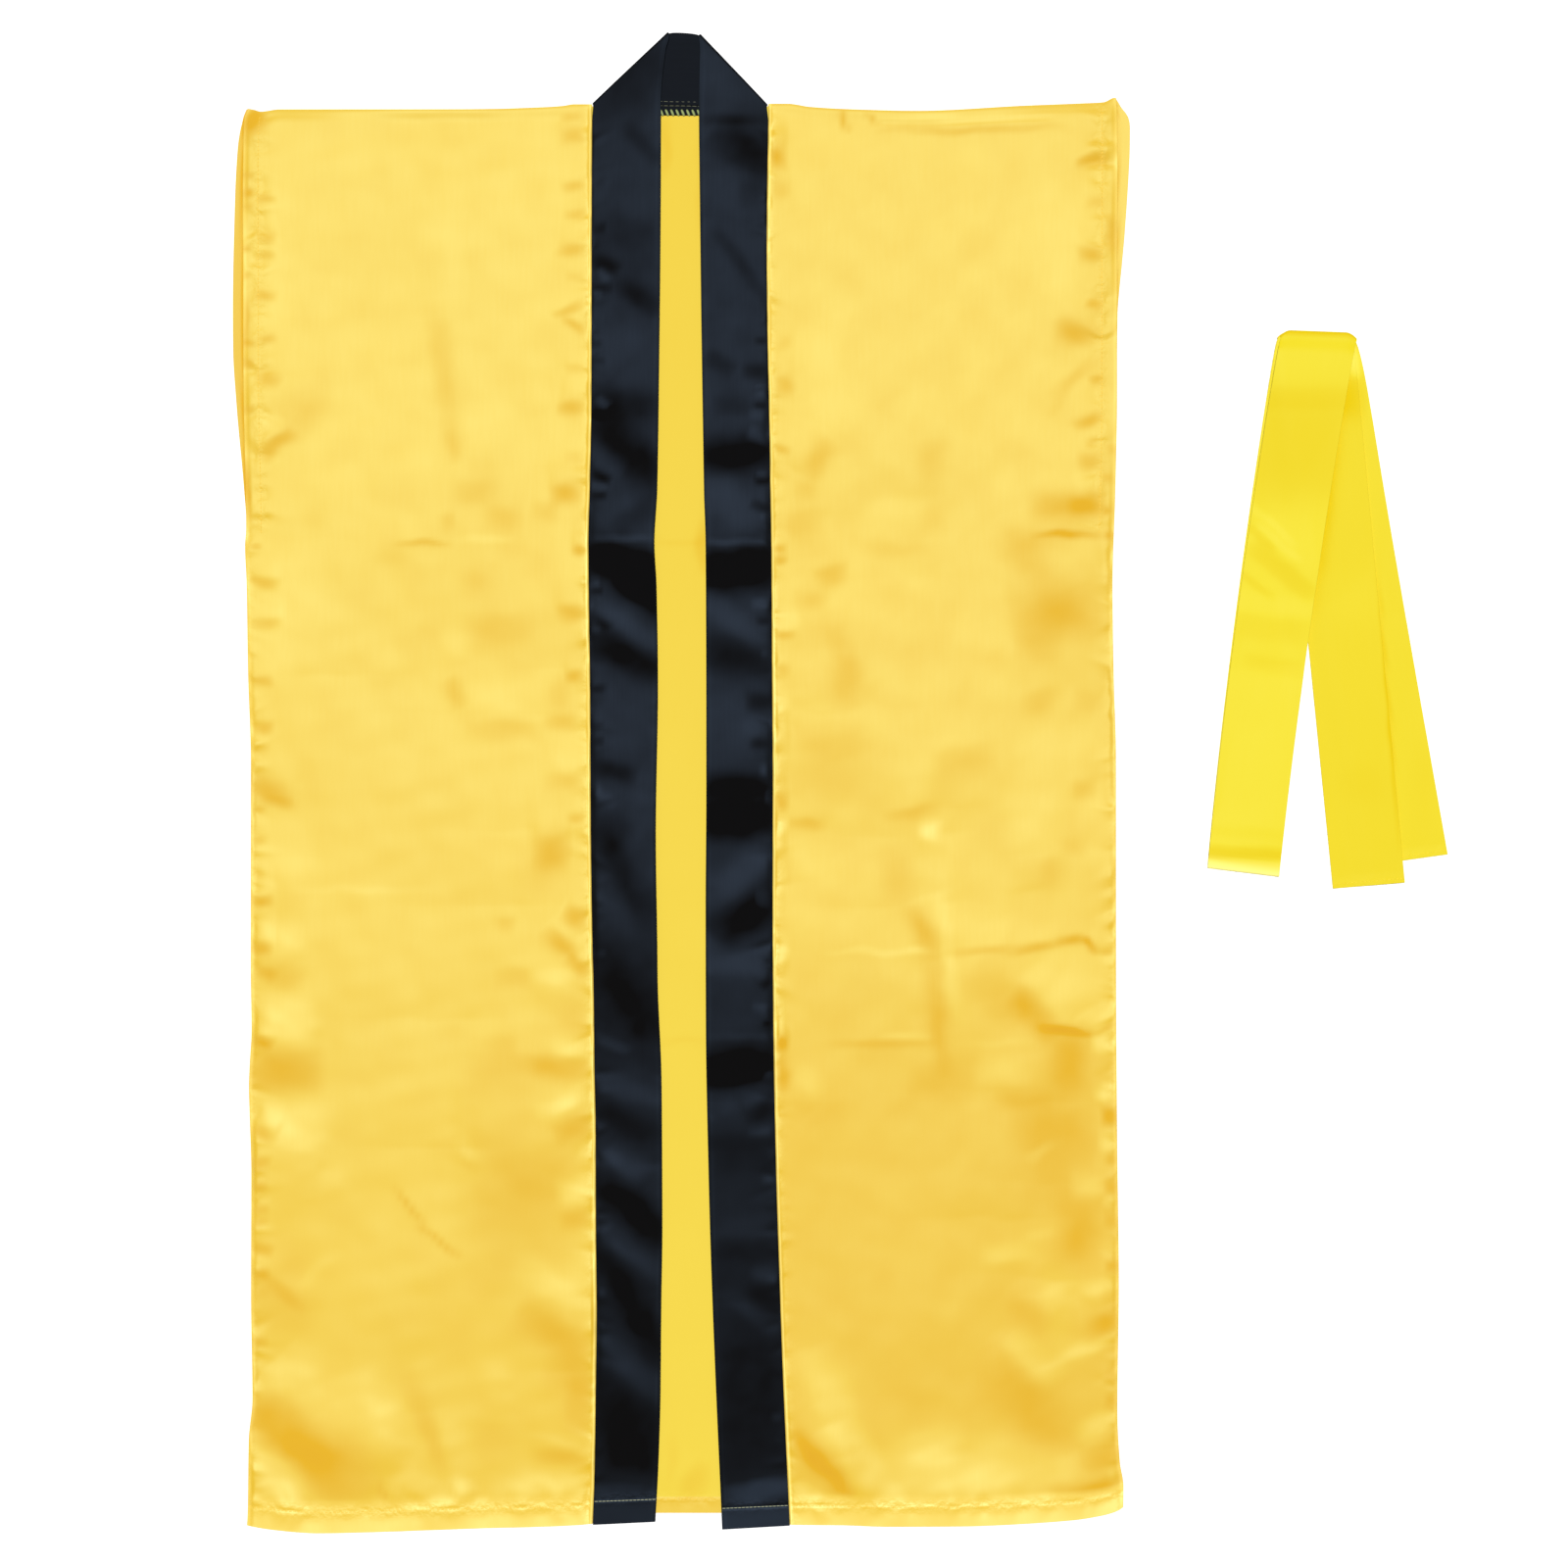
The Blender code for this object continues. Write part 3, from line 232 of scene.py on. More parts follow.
def normalsOf(points):
    # the unit direction square to a grid of points, from its rows and columns
    run, row = np.gradient(points, axis=0), np.gradient(points, axis=1)
    square = np.cross(row, run)
    return square / np.maximum(np.linalg.norm(square, axis=2, keepdims=True), 1e-9)


def wallMesh(name, upper, lower, flat, material, bulge=0.15, sharpest=38, **marks):
    # a closed wall: an upper and a lower grid of points joined by a rim with one rounded ring between them;
    # flat is the place of each point on the cut cloth, and marks are numbers kept at each point
    rows, columns = upper.shape[:2]
    count = rows * columns
    index = np.arange(count).reshape(rows, columns)
    a, b, c, d = index[:-1, :-1], index[:-1, 1:], index[1:, 1:], index[1:, :-1]
    top = np.stack((a, b, c, d), axis=-1).reshape(-1, 4)
    bottom = np.stack((a, d, c, b), axis=-1).reshape(-1, 4) + count
    rim = np.concatenate((index[0], index[1:, -1], index[-1, -2::-1], index[-2:0:-1, 0]))
    up, down = upper.reshape(-1, 3), lower.reshape(-1, 3)
    middle = (up[rim] + down[rim]) / 2
    travel = np.roll(middle, -1, axis=0) - np.roll(middle, 1, axis=0)
    outward = np.cross(travel, up[rim] - down[rim])
    outward /= np.maximum(np.linalg.norm(outward, axis=1, keepdims=True), 1e-9)
    ring = middle + outward * bulge
    p, q = np.arange(len(rim)), np.roll(np.arange(len(rim)), -1)
    ringIndex = 2 * count
    sides = np.concatenate((
        np.stack((rim[q], rim[p], ringIndex + p, ringIndex + q), axis=-1),
        np.stack((ringIndex + q, ringIndex + p, count + rim[p], count + rim[q]), axis=-1)))
    faces = np.concatenate((top, bottom, sides))
    points = np.concatenate((up, down, ring)) * mm
    mesh = bpy.data.meshes.new(name)
    mesh.from_pydata(points.tolist(), [], faces.tolist())
    whole = lambda values: np.concatenate((values, values, values[rim]))
    cut = whole(flat.reshape(-1, 2)) * mm
    corners = np.empty(len(mesh.loops), dtype=np.int32)
    mesh.loops.foreach_get("vertex_index", corners)
    mesh.uv_layers.new(name="cut").data.foreach_set("uv", cut[corners].ravel())
    for mark, values in marks.items():
        mesh.attributes.new(mark, "FLOAT", "POINT").data.foreach_set("value", whole(values.ravel()))
    mesh.materials.append(material)
    mesh.shade_smooth()
    mesh.set_sharp_from_angle(angle=math.radians(sharpest))
    piece = addObject(name, mesh)
    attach(piece, "root")
    return piece


def hexColour(code):
    # sRGB hex to linear: (c + 0.055) / 1.055 to the power 2.4, or c / 12.92 in the darks
    parts = [int(code[i:i + 2], 16) / 255 for i in (1, 3, 5)]
    return tuple(c / 12.92 if c <= 0.04045 else ((c + 0.055) / 1.055) ** 2.4 for c in parts) + (1.0,)


def addNode(tree, kind, inputs=None, **settings):
    # one node with its settings; an input is a value, or another node's output to link
    node = tree.nodes.new(kind)
    for key, value in settings.items():
        setattr(node, key, value)
    for key, value in (inputs or {}).items():
        if isinstance(value, bpy.types.NodeSocket):
            tree.links.new(value, node.inputs[key])
        else:
            node.inputs[key].default_value = value
    return node


def addMix(tree, share, first, second):
    # two colours mixed: the share is that of the second
    return addNode(tree, "ShaderNodeMix", {0: share, 6: first, 7: second}, data_type="RGBA").outputs[2]


def addMath(tree, kind, *values, clamp=False):
    # one operation on its values
    node = addNode(tree, "ShaderNodeMath", dict(enumerate(values)), operation=kind, use_clamp=clamp)
    return node.outputs[0]


def addNoise(tree, place, scale, detail, roughness):
    # noise over the plan of the cut cloth
    return addNode(tree, "ShaderNodeTexNoise", {
        "Vector": place, "Scale": scale, "Detail": detail, "Roughness": roughness},
        noise_dimensions="2D").outputs[0]


def addBump(tree, height, strength, depth, **under):
    # relief that is depth mm high, on top of the one under it
    return addNode(tree, "ShaderNodeBump", {
        "Height": height, "Strength": strength, "Distance": depth * mm, **under}).outputs[0]


def newMaterial(name):
    # a material, its tree of nodes and its shader
    material = bpy.data.materials.new(name)
    material.use_nodes = True
    return material, material.node_tree, material.node_tree.nodes["Principled BSDF"]


def satinMaterial(name, look):
    # Satin weave: long warp floats on the face give a soft sheen that is stretched across the floats.
    # Real floats are about 0.12 mm apart; they are drawn threadPitch apart so that they can show.
    material, tree, shader = newMaterial(name)
    cut, perMetre = addNode(tree, "ShaderNodeUVMap", uv_map="cut").outputs["UV"], 1 / mm
    colour = {key: hexColour(look[key]) for key in ("face", "deep", "glow", "shade", "sheen")}
    stretched = lambda across, along: addNode(tree, "ShaderNodeMapping", {
        "Vector": cut, "Scale": (perMetre / across, perMetre / along, 1)}).outputs[0]
    mark = lambda kept: addNode(tree, "ShaderNodeAttribute", attribute_name=kept).outputs["Fac"]
    threads = addNoise(tree, stretched(look["threadPitch"], look["floatLength"]), 1.0, 1.0, 0.5)
    slubs = addNoise(tree, stretched(look["slubWidth"], look["slubLength"]), 1.0, 2.0, 0.55)
    clouds = addNoise(tree, cut, perMetre / look["cloudSize"], 3.0, 0.55)
    # painted highlight: the glow mark mixes the base colour, which varies at random between deep and face,
    # towards the pale glow colour
    lit = addMix(tree, mark("glow"), addMix(tree, clouds, colour["deep"], colour["face"]), colour["glow"])
    # painted shade: a positive shade mark, times darkening, mixes the base colour towards the shade colour
    shade = mark("shade")
    dark = addMath(tree, "MULTIPLY", shade, look["darkening"], clamp=True)
    tree.links.new(addMix(tree, dark, lit, colour["shade"]), shader.inputs["Base Color"])
    # the sheen's peak goes with roughness^-4, so a share of it is kept by roughness * share^(-1/4)
    share = addMath(tree, "MULTIPLY_ADD", shade, -look["sheenLoss"], 1.0)
    wider = addMath(tree, "POWER", addMath(tree, "MAXIMUM", share, look["leastSheen"]), -0.25)
    middle, spread = look["roughness"], look["roughnessSpread"]
    uneven = addNode(tree, "ShaderNodeMapRange", {
        "Value": slubs, "From Min": 0.3, "From Max": 0.7,
        "To Min": middle - spread, "To Max": middle + spread})
    rough = addMath(tree, "MULTIPLY", wider, uneven.outputs[0], clamp=True)
    tree.links.new(rough, shader.inputs["Roughness"])
    puckers = addNoise(tree, cut, perMetre / look["pullSize"], 2.0, 0.5)
    pulled = addMath(tree, "MULTIPLY", mark("pull"), puckers)
    weave = addBump(tree, threads, look["weaveStrength"], look["weaveDepth"])
    slubBump = addBump(tree, slubs, 1.0, look["slubDepth"], Normal=weave)
    seamBump = addBump(tree, pulled, 1.0, look["pullDepth"], Normal=slubBump)
    tree.links.new(seamBump, shader.inputs["Normal"])
    warp = addNode(tree, "ShaderNodeTangent", direction_type="UV_MAP", uv_map="cut")
    tree.links.new(warp.outputs[0], shader.inputs["Tangent"])
    shader.inputs["Anisotropic"].default_value = look["anisotropic"]
    shader.inputs["Specular IOR Level"].default_value = look["specular"]
    shader.inputs["Specular Tint"].default_value = colour["sheen"]
    shader.inputs["IOR"].default_value = look["ior"]
    return material


# glow is the colour of the painted highlights, shade that of the painted shade, and darkening how far the
# painted shade goes
satin = dict(
    threadPitch=0.8, floatLength=9.0, slubWidth=2.0, slubLength=26.0, cloudSize=90.0, pullSize=4.5,
    weaveStrength=0.5, weaveDepth=0.02, slubDepth=0.0025, pullDepth=0.35, roughness=0.52,
    roughnessSpread=0.004, sheenLoss=0.78, leastSheen=0.08, anisotropic=0.3, specular=0.75, ior=1.5,
    darkening=0.3, sheen="#CFFFCF", face="#D9AF20", deep="#D6AC1C", glow="#FBDD70", shade="#CC8A12",
)
goldenSatin = satinMaterial("golden polyester satin, bright side", satin)
goldenInside = satinMaterial("golden polyester satin, wrong side", satin | dict(
    face="#DDC036", deep="#DBBD32", roughness=0.64, specular=0.5))
blackSatin = satinMaterial("black polyester satin", satin | dict(
    face="#0D0D0C", deep="#0C0C0B", glow="#28303B", shade="#0A0806", sheen="#A9C6F0", specular=0.07,
    roughness=0.45, darkening=0.8))
lemonSatin = satinMaterial("lemon polyester satin", satin | dict(
    face="#DCC70A", deep="#DAC508", glow="#FBF08A", shade="#D0A20E", roughness=0.5, specular=0.22))

thread = dict(fibreSize=0.5, twistDepth=0.05, darkest=0.85, lightest=1.12)


def threadMaterial(name, colour, roughness=0.5):
    # Spun polyester sewing thread: a soft twist shows as fine ridges along its length
    material, tree, shader = newMaterial(name)
    place = addNode(tree, "ShaderNodeTexCoord").outputs["Object"]
    fibre = addNode(tree, "ShaderNodeTexNoise", {
        "Vector": place, "Scale": 1 / (thread["fibreSize"] * mm), "Detail": 2.0})
    tone = addNode(tree, "ShaderNodeHueSaturation", {"Color": hexColour(colour)})
    value = addNode(tree, "ShaderNodeMapRange", {
        "Value": fibre.outputs[0], "From Min": 0.3, "From Max": 0.7,
        "To Min": thread["darkest"], "To Max": thread["lightest"]})
    tree.links.new(value.outputs[0], tone.inputs["Value"])
    tree.links.new(tone.outputs[0], shader.inputs["Base Color"])
    tree.links.new(addBump(tree, fibre.outputs[0], 0.5, thread["twistDepth"]), shader.inputs["Normal"])
    shader.inputs["Roughness"].default_value = roughness
    return material


goldenThread = threadMaterial("golden sewing thread", "#F6CE4A")
sagThread = threadMaterial("pale green-cream sewing thread", "#CDCFA2")
dullThread = threadMaterial("grey-green sewing thread", "#6C6E55")
overlockThread = threadMaterial("sage green overlock thread", "#8C9A60", 0.7)
lemonThread = threadMaterial("lemon sewing thread", "#F3DA2C")
print("materials made")

# rings of one stitch: their places from end to end and their shares of its radius
stitchShape = dict(
    places=(-1.0, -0.82, -0.3, 0.3, 0.82, 1.0), sizes=(0.25, 0.8, 1.0, 1.0, 0.8, 0.25), sides=6, endDrop=0.6,
    nearby=0.2,
)


def stitchRow(name, path, material, slot, pitch=2.8, stitch=2.2, radius=0.22, lift=0.1, slant=0.0):
    # equal stitches along a path in the cloth: each is a capsule of rings, arched by lift * (1 - t^2)
    path, top = np.asarray(path, dtype=float), np.array((0.0, 0.0, 1.0))
    travelled, nearby = lengthAlong(path), stitchShape["nearby"]
    count = max(1, int(travelled[-1] / pitch))
    middles = (np.arange(count) + 0.5) * travelled[-1] / count
    at = lambda places: np.stack([np.interp(places, travelled, path[:, k]) for k in range(3)], axis=-1)
    centre = at(middles)
    ahead = at(middles + nearby) - at(middles - nearby)
    ahead /= np.linalg.norm(ahead, axis=1, keepdims=True)
    ahead = ahead * math.cos(slant) + np.cross(top, ahead) * math.sin(slant)
    side = np.cross(top, ahead)
    t, size = np.array(stitchShape["places"]), radius * np.array(stitchShape["sizes"])
    bow = lift * (1 - t**2) - stitchShape["endDrop"] * radius * t**4
    turn = np.arange(stitchShape["sides"]) * 2 * math.pi / stitchShape["sides"]
    ringSide = size[:, None] * np.cos(turn)
    ringUp = bow[:, None] + size[:, None] * np.sin(turn)
    points = (centre[:, None, None] + ahead[:, None, None] * (t * stitch / 2)[None, :, None, None]
              + side[:, None, None] * ringSide[None, ..., None] + top * ringUp[None, ..., None])
    rings, sides = len(t), len(turn)
    index = np.arange(rings * sides).reshape(rings, sides)
    onward = np.roll(index, -1, axis=1)
    tube = np.stack((index[:-1], index[1:], onward[1:], onward[:-1]), axis=-1).reshape(-1, 4)
    start = np.arange(count)[:, None, None] * rings * sides
    quads = (tube[None] + start).reshape(-1, 4).tolist()
    caps = np.stack((index[0], index[-1, ::-1]))
    ends = (caps[None] + start).reshape(-1, sides).tolist()
    mesh = bpy.data.meshes.new(name)
    mesh.from_pydata((points.reshape(-1, 3) * mm).tolist(), [], quads + ends)
    mesh.materials.append(material)
    mesh.shade_smooth()
    piece = addObject(name, mesh)
    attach(piece, "root")
    return piece


# the back panel lies wrong side up in the front gap, and its outside faces the floor
backCloth = dict(
    wall=0.5, level=0.3, side=(-303.5, 305.5), neck=(-66.8, -63.8, -40, 36, 59.3, 62.3), topFlatY=496.0,
    armholeShadeY=200.0, hemDepth=10.5, hemRise=0.2, hemGroove=0.1, gap=(-34, 36), gapFade=14.0,
    covered=(34, 296), coveredTopY=486.0, waveHeight=0.5, waveLength=(30, 120),
    hemPuckers=dict(count=9, low=-60, high=60, height=0.4, reach=7), outsideLift=0.05, outsideHighest=0.3,
    topTone=0.4, edgeShadow=0.9, peekTone=0.6, turnedX=292.0, turnedY=-481.0,
)
# places as in rightMarks
backMarks = (
    (14, 188, 90, 44, 4, .55), (0, 191, 0, 60, 2.5, .2), (0, -160, 0, 60, 2.5, .2),
    (-12, 470, 90, 50, 4, .4), (12, 440, 90, 80, 3, .2), (8, -470, 60, 34, 7, .5),
    (-8, -455, 90, 40, 4, .25),
)
# creases of the outside, which faces the floor: like those of the fronts, but shallow, in that face alone
backOutsideMarks = (
    (-170, 191, 0, 230, 3.5, .6), (165, 188, 0, 240, 3.5, .55), (-160, -98, 1, 250, 3.5, .5),
    (170, -160, -1, 230, 4, .6), (-150, -160, 0, 180, 3.5, -.4), (-120, 60, 90, 420, 5, .45),
    (-155, 330, 90, 260, 5, .35), (150, -330, 90, 280, 5, .4), (-262, 120, -20, 70, 9, .8),
    (268, 60, 24, 80, 10, .8), (-270, -60, 14, 60, 8, -.7), (262, -230, -32, 90, 12, .9),
    (-255, -300, 36, 90, 10, .9), (-90, 250, -50, 90, 9, .5), (90, 300, 40, 110, 11, .6),
    (-100, -240, -62, 120, 12, .7), (80, -300, 58, 130, 13, .6), (-190, -430, 52, 100, 12, .9),
    (-90, -440, -66, 80, 9, -.8), (70, -430, 74, 90, 10, .8), (150, -430, -48, 110, 12, .9),
    (245, -440, 44, 90, 10, -.8), (-230, 400, 30, 80, 10, .6), (220, 420, -28, 90, 9, .6),
)


def makeBack():
    # one flat width; only where it shows does it rise a little in slow waves
    own, neck, (start, stop) = backCloth, backCloth["neck"], backCloth["side"]
    across = steps(start, .6, start + 2, 2.5, -286, 14, neck[0], 3, neck[1], 4, neck[2], 2.2, neck[3], 4,
                   neck[4], 3, neck[5], 14, 288, 2.5, stop - 2, .6, stop)
    low, high = coat["backHemY"], coat["shoulderY"]
    u, y = np.meshgrid((across - start) / (stop - start),
                       steps(low, .6, low + 2, 1.6, low + 16, 3.6, own["coveredTopY"], 1.6, high))
    right = -(curve(rightHalf["side"], "y", "edge", y) + curve(rightHalf["side"], "y", "peek", y))
    left = curve(leftHalf["side"], "y", "edge", y) + curve(leftHalf["side"], "y", "peek", y)
    x = right + (left - right) * u
    inNeck = (across > neck[0] + .1) & (across < neck[-1] - .1)
    shoulder = curve(coat["shoulder"], "x", "y", x)
    top = np.where(inNeck[None, :], curve(coat["neckSeam"], "x", "y", x), shoulder)
    fromHem = y - coat["backHemY"]
    fromStitch = fromHem - own["hemDepth"]
    nearHem = np.clip(1 - fromHem / coat["edgeBlend"], 0, 1)
    y = y + (top - coat["shoulderY"]) * np.clip(1 - (coat["shoulderY"] - y) / coat["edgeBlend"], 0, 1)
    y = y + (curve(coat["backHem"], "x", "y", x) - coat["backHemY"]) * nearHem
    gap = ease((x - own["gap"][0]) / own["gapFade"]) * ease((own["gap"][1] - x) / own["gapFade"])
    rise = (0.5 + 0.5 * waves(x, y, 3, *own["waveLength"])) * own["waveHeight"] * gap
    rise += seamPuckers(5, x, np.abs(fromStitch), **own["hemPuckers"]) * gap
    folds, tone = foldsAt(backMarks, x, y, 8)
    rise += folds * gap
    rise = np.maximum(rise, 0) * ease((own["topFlatY"] - y) / 8)
    inside, outside = own["covered"]
    covered = ease((np.abs(x) - inside) / 8) * ease((outside - np.abs(x)) / 8)
    covered *= ease((own["coveredTopY"] - y) / 10)
    outsideFolds, outsideTone = foldsAt(
        backOutsideMarks, x, y, 9, lift=own["outsideLift"], highest=own["outsideHighest"])
    hem = own["hemRise"] * (1 - ease(fromStitch / 1.2))
    groove = own["hemGroove"] * bell(fromStitch - 0.8, 0.9)
    halfWall, middle = own["wall"] / 2, own["level"] + rise
    upper = np.stack((x, y, middle + halfWall + hem - groove), axis=-1)
    lower = np.stack((x, y, middle - halfWall + outsideFolds * covered), axis=-1)
    flat = np.stack((x, y), axis=-1)
    rightEdge, leftEdge = (curve(half["side"], "y", "edge", y) for half in (rightHalf, leftHalf))
    frontEdge = np.where(x < 0, rightEdge, leftEdge)
    inArmhole = ease((y - own["armholeShadeY"]) / 8)
    # painted shadow along the front's edge, on the back where it peeks out at the armhole
    shade = own["edgeShadow"] * bell(np.abs(x) - frontEdge, 1.4) * inArmhole
    # painted shade in the front gap, darker towards the neck, with the marks' painted shade
    shade += (own["topTone"] * (y + 500) / 1000 + tone) * gap
    # the right armhole peek is made darker all over
    shade += own["peekTone"] * ease((np.abs(x) - 300) / 4) * inArmhole * (x < 0)
    piece = wallMesh("back_cloth", upper, lower, flat, goldenInside, glow=np.zeros_like(x), shade=shade,
                     pull=bell(fromStitch, 4))
    # the outside has its own shade, and it and the turned hems are bright side out
    shades = np.empty(len(piece.data.vertices))
    piece.data.attributes["shade"].data.foreach_get("value", shades)
    shades[x.size:2 * x.size] = (outsideTone * covered).ravel()
    piece.data.attributes["shade"].data.foreach_set("value", shades)
    piece.data.materials.append(goldenSatin)
    middles, facing = np.empty((2, 3 * len(piece.data.polygons)))
    piece.data.polygons.foreach_get("center", middles)
    piece.data.polygons.foreach_get("normal", facing)
    middles = middles.reshape(-1, 3) / mm
    turned = (np.abs(middles[:, 0]) > own["turnedX"]) & (middles[:, 1] > coat["armholeEndY"])
    turned |= (middles[:, 1] < own["turnedY"]) | (facing[2::3] < 0)
    piece.data.polygons.foreach_set("material_index", turned.astype(np.int32))
    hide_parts("back_panel")
    hemRow = np.argmin(np.abs(fromStitch[:, 0]))
    threads = [stitchRow("back_hem_stitches", upper[hemRow, 3:-3], goldenThread, "golden_satin")]
    return piece, threads


# seamGlow and sideGlow are painted highlights along the band's seam and the side edges; lowToneY is where the
# halves' painted shade towards the hem begins and is full
frontCloth = dict(
    wall=0.55, level=2.2, lowest=0.95, width=246.0, seamGap=0.3, edgeFall=0.3, sideFall=3.0, topFall=3.0,
    fallPower=2.2, sidePin=5.0, bandPin=4.0, topPin=9.0, hemDepth=14.0, armholeHemDepth=11.0, groove=0.05,
    hemRise=0.14, hemStep=2.0, hemLift=0.9, hemFoldShare=0.7, hemToneShare=0.6,
    rollHeight=0.55, rollPlace=1.1, rollWidth=0.8, seamDip=0.5, seamDipWidth=0.45, seamGlow=0.9,
    sideGlow=0.35, seamPull=0.6, seamLight=0.4, lowToneY=(-90.0, -210.0), toneStrength=1.05,
    waveHeight=0.9, waveLength=(70, 230), crumple=0.12, crumpleLength=(16, 46), crumpleWaves=30,
    mottling=0.09, mottleLength=(9, 46), mottleWaves=60,
    sidePuckers=dict(count=130, low=-488, high=488, height=.7, reach=9),
    bandPuckers=dict(count=120, low=-486, high=488, height=.7, reach=8),
    hemPuckers=dict(count=34, height=.45, reach=11), hemPuckerEnds=(68.0, 300.0),
    shoulderLine=dict(depth=0.35, place=9.0, width=1.3, ends=(130, 268), fade=16.0),
)
